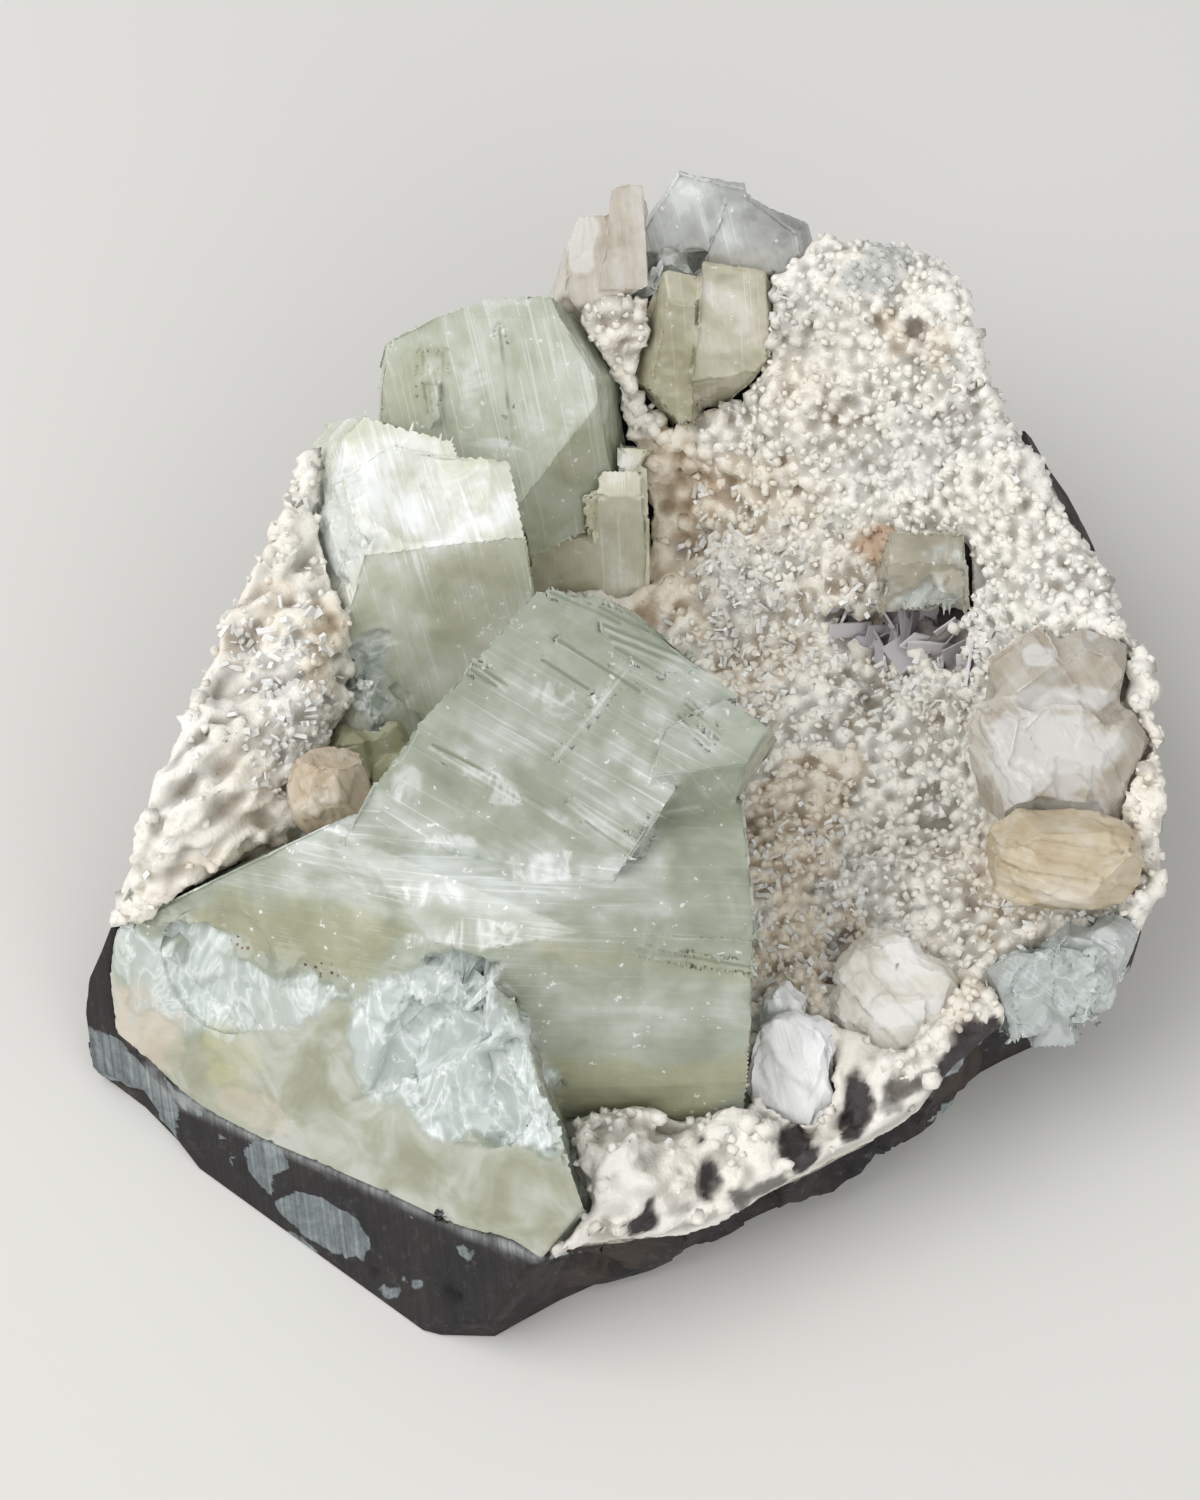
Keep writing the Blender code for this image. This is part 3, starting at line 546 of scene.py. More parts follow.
# Where the druse differs, by outline or by x, y, half width, half height, turn and strength.
druseZones = {
    "warm": (
        (665, 520, 60, 130, 0, 0.9), (770, 520, 80, 60, 20, 0.6), (790, 830, 60, 100, 30, 0.8),
        (800, 950, 60, 60, 0, 0.9), (890, 548, 34, 14, 20, 1.0), (1040, 900, 60, 60, 0, 0.5),
        (320, 640, 22, 50, 0, 0.9), (245, 870, 60, 30, -20, 0.45), (760, 660, 60, 40, 0, 0.4),
        (930, 990, 60, 40, 0, 0.4), (912, 338, 34, 24, 20, 0.6), (700, 390, 50, 40, 0, 0.5),
        (840, 560, 60, 50, 0, 0.4), (255, 620, 50, 30, -50, 0.4),
    ),
    "dark": (
        (1.0, [(620, 1225), (650, 1205), (656, 1226), (630, 1240)]),
        (1.0, [(686, 1150), (700, 1143), (717, 1170), (712, 1207), (696, 1204)]),
        (1.0, [(767, 1130), (790, 1121), (814, 1140), (808, 1170), (784, 1172)]),
        (1.0, [(840, 1072), (860, 1066), (867, 1100), (856, 1139), (842, 1120)]),
        (1.0, [(939, 1062), (968, 1020), (1003, 1008), (1000, 1036), (965, 1084), (944, 1096)]),
        (0.6, [(884, 1086), (936, 1066), (930, 1092), (890, 1104)]),
        (0.8, [(736, 1196), (786, 1170), (786, 1184), (740, 1206)]),
    ),
    # Pits: sunk and painted grey-mauve, partly the pit floor's own colour and partly painted shade in the
    # deep holes.
    "pit": (
        (1.0, [(813, 612), (850, 606), (884, 640), (882, 660), (846, 650)]),
        (1.0, [(878, 606), (930, 602), (958, 632), (982, 676), (950, 672), (920, 650), (884, 652)]),
        (0.4, [(831, 978), (853, 978), (852, 990), (833, 990)]),
        (0.4, [(400, 690), (434, 694), (428, 724), (402, 722)]),
        (0.4, [(900, 322), (926, 328), (924, 352), (902, 350)]),
        (0.4, [(930, 800), (952, 804), (948, 824), (932, 820)]),
    ),
    "smooth": (
        (1.0, [(80, 1010), (90, 880), (180, 690), (270, 560), (300, 480), (345, 600), (330, 700), (290, 760),
               (285, 830), (240, 890), (180, 930)]),
        (0.9, [(540, 1130), (760, 1060), (850, 1010), (900, 1080), (860, 1130), (700, 1230), (560, 1270)]),
        (0.9, [(590, 380), (700, 380), (700, 640), (640, 690), (590, 560)]),
    ),
    "spiky": (
        (1.0, [(225, 625), (313, 610), (340, 700), (320, 790), (250, 790), (255, 690)]),
        (0.8, [(700, 480), (800, 520), (800, 640), (740, 760), (690, 600)]),
        (0.8, [(800, 590), (1000, 590), (1010, 720), (900, 700), (810, 660)]),
        (0.7, [(740, 820), (870, 820), (870, 1000), (760, 1000)]),
        (0.5, [(1000, 900), (1110, 900), (1110, 960), (1000, 960)]),
    ),
    "bigger": ((910, 710, 110, 80, 0, 1.0), (810, 740, 70, 70, 0, 0.8), (850, 560, 90, 60, 0, 0.9),
               (1020, 780, 40, 50, 0, 1.0), (1050, 600, 40, 60, 0, 0.5)),
    # Where grains fill the joint between crust and crystal.
    "contact": ((100, 920, 180, 900), (180, 900, 290, 815), (385, 790, 380, 830), (590, 380, 600, 440),
                (650, 420, 700, 440), (700, 440, 775, 350), (655, 590, 740, 700), (740, 700, 760, 900),
                (340, 470, 275, 530), (275, 530, 330, 690)),
    "grey": ((875, 268, 36, 26, 0, 0.9), (700, 240, 50, 40, 0, 0.5), (740, 590, 40, 60, 0, 0.5),
             (780, 330, 60, 40, 0, 0.35), (1040, 440, 30, 50, 0, 0.4), (900, 450, 60, 40, 0, 0.3)),
}


def druseMaterial():
    # Waxy white grains with a sugary skin, painted shade from cream to tan between and below them, and dark
    # where the basalt shows.
    material, tree, shader, place = newMaterial("druse", {"Roughness": druse["roughness"],
                                                          "Specular IOR Level": 0.5})
    tone, warm, grey = masksOf(tree, ("tone", "warm", "grey"))
    dark, pit, rusty = masksOf(tree, ("dark", "pit", "rusty"))
    fine = addNode(tree, "ShaderNodeTexNoise", {"Scale": druse["skinScale"], "Detail": 2.0, "Roughness": 0.7},
                   {"Vector": place})
    broad = addNode(tree, "ShaderNodeTexNoise", {"Scale": druse["shadeScale"], "Detail": 2.0},
                    {"Vector": place})
    shade = addNode(tree, "ShaderNodeMath", {"operation": "MULTIPLY_ADD", 1: 0.9, 2: -0.45}, {0: broad})
    # The tone mask carries random tone and painted shade: darker between grains and on their lower sides.
    level = addNode(tree, "ShaderNodeMath", {"operation": "ADD", "use_clamp": True}, {0: tone, 1: shade})
    cool = addNode(tree, "ShaderNodeValToRGB", {"stops": druse["coolStops"]}, {"Fac": level})
    tanned = addNode(tree, "ShaderNodeValToRGB", {"stops": druse["tannedStops"]}, {"Fac": level})
    colour = paintOver(tree, cool, ((warm, tanned), (grey, druse["greyed"]), (dark, druse["between"]),
                                    (pit, druse["pitTintAndShade"]), (rusty, druse["rusty"])))
    bump = addNode(tree, "ShaderNodeBump", {"Strength": 0.8, "Distance": 0.00025}, {"Height": fine})
    connect(tree, shader, {"Base Color": colour, "Normal": bump})
    return material


def alongFibre(points, azimuth, squeeze):
    # Places turned to a level grain and squeezed along it, so that noise runs in fibres.
    axes = np.stack((direction(azimuth, 0), direction(azimuth + 90, 0), direction(0, 90)), axis=1)
    return points @ axes * (squeeze, 1.0, 1.0)


def druseColours(mesh, points, tone):
    warm = spots(points, druseZones["warm"], 0.6) + 0.35 * roughNoise(points, 0.009, 61) + 0.12
    writeMask(mesh, "tone", tone)
    writeMask(mesh, "warm", warm)
    writeMask(mesh, "grey", 0.7 * spots(points, druseZones["grey"], 0.6))
    writeMask(mesh, "rusty", spots(points, ((888, 549, 26, 16, 15, 1.0),), 0.5))


def druseParts(points, normals):
    # How far each point faces up, and how much it lies in the fibrous crest, a dark joint or a pit.
    return (ease(normals[:, 2], -0.1, 0.4), patches(points, druseZones["smooth"], 20, 20),
            patches(points, druseZones["dark"], 3, 13), patches(points, druseZones["pit"], 4, 6))


def makeDruse():
    shape = mergedCopy("druse_crust")
    mesh = bpy.data.meshes.new("druseGround")
    shape.to_mesh(mesh)
    shape.free()
    mesh = voxelMesh(mesh, druse["voxel"])
    points, normals = readPoints(mesh), readNormals(mesh)
    up, smooth, dark, pit = druseParts(points, normals)
    folds = 1 - np.abs(roughNoise(alongFibre(points, 35, 0.45), 0.0034, 66, 4))
    relief = smooth * druse["foldHigh"] * (folds - 0.3) + druse["lumpHigh"] * roughNoise(points, 0.0045, 71)
    relief -= druse["sunk"] + dark * druse["darkDeep"] + pit * druse["pitDeep"]
    writePoints(mesh, points + normals * (up * relief)[:, None])
    bare = (1 - ease(dark, 0.2, 0.5)) * (1 - ease(pit, 0.2, 0.5))
    writeMask(mesh, "beaded", up * bare * ease(normals[:, 2], 0.0, 0.25) * (1 - 0.96 * smooth)
              + 0.5 * alongLines(points, druseZones["contact"], 20) * up)
    bigger = spots(points, druseZones["bigger"], 0.4)
    writeMask(mesh, "plump", 0.45 + 0.5 * roughNoise(points, 0.011, 88) * (1 - smooth) + 0.45 * bigger)
    beads = strewOver("largeBeads", mesh, strewn["largeBeads"])
    mesh = voxelMesh(joined((mesh, beads)), druse["skin"])
    points = smoothed(mesh, readPoints(mesh), 1)
    writePoints(mesh, points)
    normals = readNormals(mesh)
    bulge = np.sum((points - smoothed(mesh, points, 14)) * normals, axis=1)
    crest = patches(points, druseZones["smooth"], 20, 20)
    thread = 1 - np.abs(roughNoise(alongFibre(points, 50, 0.35), 0.0019, 83, 3))
    fuzz = druse["fuzzHigh"] * roughNoise(points, 0.0009, 81) + druse["threadHigh"] * crest * (thread - 0.7)
    points = points + normals * fuzz[:, None]
    writePoints(mesh, points)
    up, smooth, dark, pit = druseParts(points, normals)
    # Painted shade: the tone is lighter on bulging lumps and darker in the hollows between them.
    druseColours(mesh, points, 0.5 + 0.12 * smooth + 0.42 * bulge / druse["bulgeHigh"])
    writeMask(mesh, "dark", dark)
    writeMask(mesh, "pit", pit)
    bare = (1 - ease(dark, 0.2, 0.5)) * (1 - ease(pit, 0.2, 0.5)) * up
    writeMask(mesh, "plump", np.full(len(points), 0.5))
    writeMask(mesh, "grained", bare * (0.6 - 0.5 * smooth))
    writeMask(mesh, "spiky", bare * np.maximum(0.03, patches(points, druseZones["spiky"], 16, 16)))
    writeMask(mesh, "plated", ease(pit, 0.5, 0.9) * up)
    crust = finishPiece("druseCrust", mesh, druseMaterial(), ["druse_crust"], 0)
    return crust, beads


# Loose grains of the crust, each form a few dozen faces.
grainForms = {
    "lump": {"stretch": (1.0, 0.86, 1.14), "dents": 0.42, "cube": 0.42},
    "block": {"stretch": (1.0, 0.8, 1.25), "dents": 0.16, "cube": 0.75},
    "rice": {"stretch": (0.78, 0.72, 1.5), "dents": 0.3, "cube": 0.4},
    "needle": {"stretch": (0.34, 0.22, 2.2), "dents": 0.1, "cube": 0.9},
    "plate": {"stretch": (1.5, 0.12, 1.9), "dents": 0.05, "cube": 0.95},
    "splinter": {"stretch": (0.6, 0.4, 1.1), "dents": 0.2, "cube": 1.0},
}


def grainObject(name, form, seed):
    bead = bmesh.new()
    bmesh.ops.create_cube(bead, size=1.0)
    if form["cube"] < 0.9:
        bmesh.ops.subdivide_edges(bead, edges=bead.edges[:], cuts=1, use_grid_fill=True)
    points = np.array([vert.co for vert in bead.verts])
    ball = points / np.linalg.norm(points, axis=1)[:, None] * 0.55
    shaped = ball * (1 - form["cube"]) + points * form["cube"]
    dented = 1 + form["dents"] * softNoise(points + seed, 0.6, seed)[:, None]
    shaped = shaped * dented * np.array(form["stretch"])
    for vert, point in zip(bead.verts, shaped):
        vert.co = point
    mesh = bpy.data.meshes.new(name)
    bead.to_mesh(mesh)
    bead.free()
    # Each point's height in the grain, later used to paint shade on the grain's lower side.
    writeMask(mesh, "tall", 0.5 + shaped[:, 2] * 0.9)
    return bpy.data.objects.new(name, mesh)


# What is strewn over the crust: mask, forms, spacing, how many to a square metre, sizes, lean and seed.
strewn = {
    "largeBeads": {"mask": "beaded", "forms": ("lump", "lump", "block", "rice"), "closest": 0.00118,
                   "density": 4000000.0, "sizes": (0.0012, 0.0020), "lean": 0.8, "sink": 0.0, "seed": 3},
    "smallBeads": {"mask": "grained", "forms": ("lump", "lump", "rice"), "closest": 0.0010,
                   "density": 1600000.0, "sizes": (0.0005, 0.0010), "lean": 0.9, "sink": 0.0, "seed": 9},
    "frostNeedles": {"mask": "spiky", "forms": ("splinter", "splinter", "needle"), "closest": 0.0007,
                     "density": 2200000.0, "sizes": (0.0006, 0.0013), "lean": 1.1, "sink": 0.0, "seed": 15},
    "pitPlates": {"mask": "plated", "forms": ("plate", "plate"), "closest": 0.0011,
                  "density": 900000.0, "sizes": (0.0012, 0.0026), "lean": 1.2, "sink": 0.0002, "seed": 27},
}


def strewOver(name, ground, look, material=None):
    # Geometry Nodes: strews grains over the ground where its mask allows, then makes them real.
    tree = bpy.data.node_groups.new(name, "GeometryNodeTree")
    tree.interface.new_socket("Geometry", in_out="INPUT", socket_type="NodeSocketGeometry")
    given = {"Closest": look["closest"], "Per Square Metre": look["density"], "Smallest": look["sizes"][0],
             "Largest": look["sizes"][1], "Lean": look["lean"], "Sink": -look["sink"]}
    named = {}
    for label in given:
        socket = tree.interface.new_socket(label, in_out="INPUT", socket_type="NodeSocketFloat")
        named[label] = socket.identifier
    tree.interface.new_socket("Geometry", in_out="OUTPUT", socket_type="NodeSocketGeometry")
    into = addNode(tree, "NodeGroupInput")
    out = addNode(tree, "NodeGroupOutput")
    mask = addNode(tree, "GeometryNodeInputNamedAttribute", {"data_type": "FLOAT", "Name": look["mask"]})
    points = addNode(tree, "GeometryNodeDistributePointsOnFaces",
                     {"distribute_method": "POISSON", "Seed": look["seed"]},
                     {"Mesh": (into, "Geometry"), "Distance Min": (into, "Closest"),
                      "Density Max": (into, "Per Square Metre"), "Density Factor": mask})
    lowered = addNode(tree, "ShaderNodeVectorMath", {"operation": "SCALE"},
                      {0: (points, "Normal"), "Scale": (into, "Sink")})
    placed = addNode(tree, "GeometryNodeSetPosition", {}, {"Geometry": (points, "Points"), "Offset": lowered})
    size = addNode(tree, "FunctionNodeRandomValue", {"data_type": "FLOAT", "Seed": look["seed"] + 1},
                   {2: (into, "Smallest"), 3: (into, "Largest")})
    plump = addNode(tree, "GeometryNodeInputNamedAttribute", {"data_type": "FLOAT", "Name": "plump"})
    plump = addNode(tree, "ShaderNodeMath", {"operation": "MULTIPLY_ADD", 1: 0.7, 2: 0.65}, {0: plump})
    size = addNode(tree, "ShaderNodeMath", {"operation": "MULTIPLY"}, {0: (size, 1), 1: plump})
    turn = addNode(tree, "FunctionNodeRandomValue", {"data_type": "FLOAT_VECTOR", 0: (-1.0, -1.0, -4.0),
                                                     1: (1.0, 1.0, 4.0), "Seed": look["seed"] + 2})
    leaning = addNode(tree, "ShaderNodeVectorMath", {"operation": "SCALE"},
                      {0: turn, "Scale": (into, "Lean")})
    aim = addNode(tree, "FunctionNodeRotateRotation", {"rotation_space": "LOCAL"},
                  {"Rotation": (points, "Rotation"), "Rotate By": leaning})
    grains = addNode(tree, "GeometryNodeJoinGeometry")
    for n, form in enumerate(look["forms"]):
        grain = grainObject(name + form, grainForms[form], look["seed"] + n)
        info = addNode(tree, "GeometryNodeObjectInfo", {"Object": grain, "As Instance": True})
        tree.links.new(info.outputs["Geometry"], grains.inputs[0])
    copies = addNode(tree, "GeometryNodeInstanceOnPoints", {"Pick Instance": True},
                     {"Points": placed, "Instance": grains, "Rotation": aim, "Scale": size})
    tint = addNode(tree, "FunctionNodeRandomValue", {"data_type": "FLOAT", "Seed": look["seed"] + 3})
    stored = addNode(tree, "GeometryNodeStoreNamedAttribute",
                     {"data_type": "FLOAT", "domain": "INSTANCE", "Name": "own"},
                     {"Geometry": copies, "Value": (tint, 1)})
    real = addNode(tree, "GeometryNodeRealizeInstances", {}, {"Geometry": stored})
    painted = addNode(tree, "GeometryNodeSetMaterial", {"Material": material}, {"Geometry": real})
    tree.links.new(painted.outputs[0], out.inputs[0])
    maker = bpy.data.objects.new(name + "Maker", ground)
    bpy.context.scene.collection.objects.link(maker)
    strew = maker.modifiers.new("strew", "NODES")
    strew.node_group = tree
    for label, value in given.items():
        strew[named[label]] = value
    graph = bpy.context.evaluated_depsgraph_get()
    mesh = bpy.data.meshes.new_from_object(maker.evaluated_get(graph))
    bpy.data.objects.remove(maker)
    return mesh


def readMask(mesh, name):
    values = np.empty(len(mesh.vertices), np.float32)
    mesh.attributes[name].data.foreach_get("value", values)
    return values


clearGrains = {
    "frost": {"roughness": 0.12, "stops": ((0.0, "#e2e1dc"), (0.5, "#f3f2ee"), (1.0, "#fdfdfc"))},
    "smokyPlates": {"roughness": 0.15, "stops": ((0.0, "#8f898e"), (0.6, "#bdb8bc"), (1.0, "#eceaec"))},
}


def grainMaterial(name):
    # Sugar-clear splinters, nearly colourless, or thin smoky lavender plates: bright glassy facets.
    look = clearGrains[name]
    material, tree, shader, _ = newMaterial(name, {"Roughness": look["roughness"], "IOR": 1.53,
                                                   "Transmission Weight": 0.12})
    own, = masksOf(tree, ("own",))
    colour = addNode(tree, "ShaderNodeValToRGB", {"stops": look["stops"]}, {"Fac": own})
    connect(tree, shader, {"Base Color": colour})
    return material


def makeStrewn(ground, beads):
    waxy = ground.data.materials[0]
    finishes = {"largeBeads": waxy, "smallBeads": waxy, "frostNeedles": grainMaterial("frost"),
                "pitPlates": grainMaterial("smokyPlates")}
    for name, material in finishes.items():
        mesh = beads if name == "largeBeads" else strewOver(name, ground.data, strewn[name], material)
        points = readPoints(mesh)
        own, tall = readMask(mesh, "own"), readMask(mesh, "tall")
        # Painted shade: each grain's own random tone, darker towards its lower side and lighter on top.
        druseColours(mesh, points, 0.22 + 0.3 * own + 0.55 * tall)
        points = points + 0.00012 * np.stack([softNoise(points, 0.0007, seed) for seed in (1, 2, 3)], axis=1)
        writePoints(mesh, points)
        finishPiece(name, mesh, material, (), 0 if material == waxy else 40)


# Apophyllite: pale green, glassy to cloudy, with milky veils, growth steps and fine striations.
apophyllite = {
    "deep": "#a0a793",
    "body": "#b4bba9",
    "pale": "#c5cbc1",
    "milk": "#d9dedb",
    "olive": "#b3b08b",
    "ice": "#f2f7f6",
    "iceDeep": "#bfc9c2",
    "sawnDark": "#989a84",
    "sawnMiddle": "#a9ab9a",
    "sawnPale": "#bcbeb4",
    "rust": "#6d4630",
    "iceEdge": "#dfe7e4",
    "iceSlope": "#cad3ce",
    "yellow": "#cfcc98",
    "pinkish": "#d6c6b4",
    # The white of the painted glints.
    "glintFleck": "#fbfdfc",
    "hairSize": (0.016, 0.00045, 0.008),
    "bandSize": (0.014, 0.0026, 0.008),
    "chipSize": (0.0042, 0.0090, 0.006),
    "grainScale": 900.0,
    "dustScale": 260.0,
    "gritScale": 1500.0,
    "sunk": 0.0003,
    "chipHigh": 0.0016,
    "splinterHigh": 0.0005,
    "chipsSunk": 0.0007,
    "swell": 0.00020,
    "pitted": 0.00005,
    "wornDeep": 0.00035,
    "grooveDeep": 0.00012,
    "ridgeHigh": 0.00006,
    "ior": 1.535,
    "clear": 0.34,
    "roughness": 0.07,
    "cloudSize": 0.0065,
}


def apophylliteMaterial(look):
    # Cloudy glass: a bright wet skin over milky veils, straight growth lines with painted shade and
    # highlight, painted glints as ice flecks, and dark specks.
    tints = {**apophyllite, **look.get("tints", {})}
    material, tree, shader, place = newMaterial(look["slot"], {"IOR": tints["ior"]})
    second, milky, flash, olive, iced = masksOf(tree, ("second", "milky", "flash", "olive", "iced"))
    sawn, rust, groove, lively = masksOf(tree, ("sawn", "rust", "groove", "lively"))
    yellow, pinkish = masksOf(tree, ("yellow", "pinkish"))
    streak = look["streak"]

    # Growth lines: fine hairs, broader bands and flat steps, turned with the grain of each side.
    sides = []
    for turn in look["grain"]:
        line = addNode(tree, "ShaderNodeMapping", {"vector_type": "TEXTURE", "Rotation": turn,
                                                   "Scale": tints["hairSize"]}, {"Vector": place})
        band = addNode(tree, "ShaderNodeMapping", {"vector_type": "TEXTURE", "Rotation": turn,
                                                   "Scale": tints["bandSize"]}, {"Vector": place})
        hairs = addNode(tree, "ShaderNodeTexNoise", {"Scale": 1.0, "Detail": 2.0, "Roughness": 0.65},
                        {"Vector": line})
        bands = addNode(tree, "ShaderNodeTexNoise", {"Scale": 1.0, "Detail": 3.0, "Roughness": 0.65,
                                                     "Distortion": 0.3}, {"Vector": band})
        steps = addNode(tree, "ShaderNodeTexVoronoi", {"distance": "CHEBYCHEV", "Scale": 1.0},
                        {"Vector": band})
        sides.append((hairs, bands, (steps, "Color")))
    hairs, bands, steps = (paintOver(tree, first, ((second, last),))
                           for first, last in zip(sides[0], sides[-1]))

    # Milkiness: from 0 for the clear deep body to 1 for white veils.
    cloud = addNode(tree, "ShaderNodeTexNoise", {"Scale": 1 / tints["cloudSize"], "Detail": 3.0,
                                                 "Roughness": 0.62, "Distortion": 0.6}, {"Vector": place})
    level = addNode(tree, "ShaderNodeMapRange", {"From Min": 0.3, "From Max": 0.72,
                                                 "To Min": 0.1, "To Max": 0.5}, {"Value": cloud})
    band = addNode(tree, "ShaderNodeMapRange", {"From Min": 0.4, "From Max": 0.66,
                                                "To Min": 0.2, "To Max": 0.75}, {"Value": bands})
    level = addNode(tree, "ShaderNodeMath", {"operation": "MULTIPLY_ADD"}, {0: band, 1: milky, 2: level})
    thin = addNode(tree, "ShaderNodeMapRange", {"From Min": 0.57, "From Max": 0.66, "To Max": 1.0},
                   {"Value": hairs})
    amount = addNode(tree, "ShaderNodeMath", {"operation": "MULTIPLY_ADD", 1: 0.25, 2: 0.16 * streak},
                     {0: milky})
    thin = addNode(tree, "ShaderNodeMath", {"operation": "MULTIPLY"}, {0: thin, 1: amount})
    level = addNode(tree, "ShaderNodeMath", {"operation": "MULTIPLY_ADD"}, {0: thin, 1: lively, 2: level})
    # Painted shade along the grooves and painted highlight along the ridges.
    line = addNode(tree, "ShaderNodeMath", {"operation": "MULTIPLY_ADD", 1: 1.4, 2: -0.7}, {0: groove})
    level = addNode(tree, "ShaderNodeMath", {"operation": "ADD", "use_clamp": True}, {0: level, 1: line})

    # Fractures: thin winding ridges where two ice-like chips meet.
    slits = addNode(tree, "ShaderNodeMapping", {"vector_type": "TEXTURE", "Rotation": look["grain"][0],
                                                "Scale": tints["chipSize"]}, {"Vector": place})
    slits = addNode(tree, "ShaderNodeTexNoise", {"Scale": 1.0, "Detail": 3.0, "Roughness": 0.55,
                                                 "Distortion": 1.3}, {"Vector": slits})
    ridge = addNode(tree, "ShaderNodeMath", {"operation": "SUBTRACT", 1: 0.5}, {0: slits})
    ridge = addNode(tree, "ShaderNodeMath", {"operation": "ABSOLUTE"}, {0: ridge})

    # Painted glints: bright ice-like flecks on the glassy sides, and painted flashes of light along the
    # ridges.
    grains = addNode(tree, "ShaderNodeTexNoise", {"Scale": tints["grainScale"], "Detail": 2.0,
                                                  "Roughness": 0.7}, {"Vector": place})
    glintFleck = addNode(tree, "ShaderNodeMath", {"operation": "MULTIPLY_ADD", 1: 0.35}, {0: cloud, 2: grains})
    glintFleck = addNode(tree, "ShaderNodeMapRange", {"From Min": 0.85, "From Max": 0.90, "To Max": 0.8},
                    {"Value": glintFleck})
    glassy = addNode(tree, "ShaderNodeMath", {"operation": "SUBTRACT", 0: 1.0}, {1: sawn})
    glintFleck = addNode(tree, "ShaderNodeMath", {"operation": "MULTIPLY"}, {0: glintFleck, 1: glassy})
    spark = addNode(tree, "ShaderNodeMapRange", {"From Min": 0.09, "From Max": 0.01}, {"Value": ridge})
    spark = addNode(tree, "ShaderNodeMath", {"operation": "MULTIPLY"}, {0: spark, 1: flash})
    glintFleck = addNode(tree, "ShaderNodeMath", {"operation": "MAXIMUM"}, {0: glintFleck, 1: spark})

    # Dark specks here and there, and rust-brown grit in the stained places.
    dust = addNode(tree, "ShaderNodeTexVoronoi", {"Scale": tints["dustScale"]}, {"Vector": place})
    size = addNode(tree, "ShaderNodeMapRange", {"From Min": 0.5, "From Max": 1.0, "To Min": -0.08,
                                                "To Max": 0.05}, {"Value": (dust, "Color")})
    speck = addNode(tree, "ShaderNodeMath", {"operation": "LESS_THAN"}, {0: (dust, "Distance"), 1: size})
    grit = addNode(tree, "ShaderNodeTexVoronoi", {"Scale": tints["gritScale"]}, {"Vector": place})
    grit = addNode(tree, "ShaderNodeMapRange", {"From Min": 0.30, "From Max": 0.22},
                   {"Value": (grit, "Distance")})
    stain = addNode(tree, "ShaderNodeMath", {"operation": "MULTIPLY"}, {0: grit, 1: rust})
    stain = addNode(tree, "ShaderNodeMath", {"operation": "MAXIMUM"}, {0: stain, 1: speck})

    stops = ((0.0, tints["deep"]), (0.3, tints["body"]), (0.6, tints["pale"]), (1.0, tints["milk"]))
    body = addNode(tree, "ShaderNodeValToRGB", {"stops": stops}, {"Fac": level})
    stops = ((0.0, tints["ice"]), (0.012, tints["iceEdge"]), (0.05, tints["iceSlope"]),
             (0.16, tints["iceDeep"]))
    glint = addNode(tree, "ShaderNodeValToRGB", {"stops": stops}, {"Fac": ridge})
    stops = ((0.36, tints["sawnDark"]), (0.5, tints["sawnMiddle"]), (0.62, tints["sawnPale"]))
    cut = addNode(tree, "ShaderNodeValToRGB", {"stops": stops}, {"Fac": cloud})
    colour = paintOver(tree, body, ((olive, tints["olive"]), (iced, glint), (sawn, cut),
                                    (yellow, tints["yellow"]), (pinkish, tints["pinkish"]),
                                    (glintFleck, tints["glintFleck"]), (stain, tints["rust"])))

    icy = addNode(tree, "ShaderNodeMath", {"operation": "MULTIPLY", 1: 0.6}, {0: iced})
    solid = addNode(tree, "ShaderNodeMath", {"operation": "MAXIMUM"}, {0: level, 1: sawn})
    solid = addNode(tree, "ShaderNodeMath", {"operation": "MAXIMUM"}, {0: solid, 1: icy})
    clear = addNode(tree, "ShaderNodeMapRange", {"From Min": 0.1, "From Max": 0.95, "To Max": 0.04,
                                                 "To Min": look.get("clear", tints["clear"])},
                    {"Value": solid})
    dull = addNode(tree, "ShaderNodeMapRange", {"To Min": tints["roughness"], "To Max": 0.42},
                   {"Value": level})
    dull = addNode(tree, "ShaderNodeMath", {"operation": "MULTIPLY_ADD", 1: 0.45, "use_clamp": True},
                   {0: sawn, 2: dull})

    # Relief: growth lines, edges of the chips, and the roughness that the saw left.
    tall = addNode(tree, "ShaderNodeMath", {"operation": "MULTIPLY_ADD", 1: 0.5 * streak},
                   {0: hairs, 2: bands})
    tall = addNode(tree, "ShaderNodeMath", {"operation": "MULTIPLY_ADD", 1: 0.5 * streak},
                   {0: steps, 2: tall})
    chips = addNode(tree, "ShaderNodeMath", {"operation": "MULTIPLY"}, {0: ridge, 1: iced})
    tall = addNode(tree, "ShaderNodeMath", {"operation": "MULTIPLY_ADD", 1: -3.5}, {0: chips, 2: tall})
    saws = addNode(tree, "ShaderNodeMath", {"operation": "MULTIPLY"}, {0: grains, 1: sawn})
    tall = addNode(tree, "ShaderNodeMath", {"operation": "MULTIPLY_ADD", 1: 1.5}, {0: saws, 2: tall})
    bump = addNode(tree, "ShaderNodeBump", {"Strength": 0.45, "Distance": 0.0002}, {"Height": tall})
    connect(tree, shader, {"Base Color": colour, "Transmission Weight": clear, "Roughness": dull,
                           "Normal": bump})
    return material


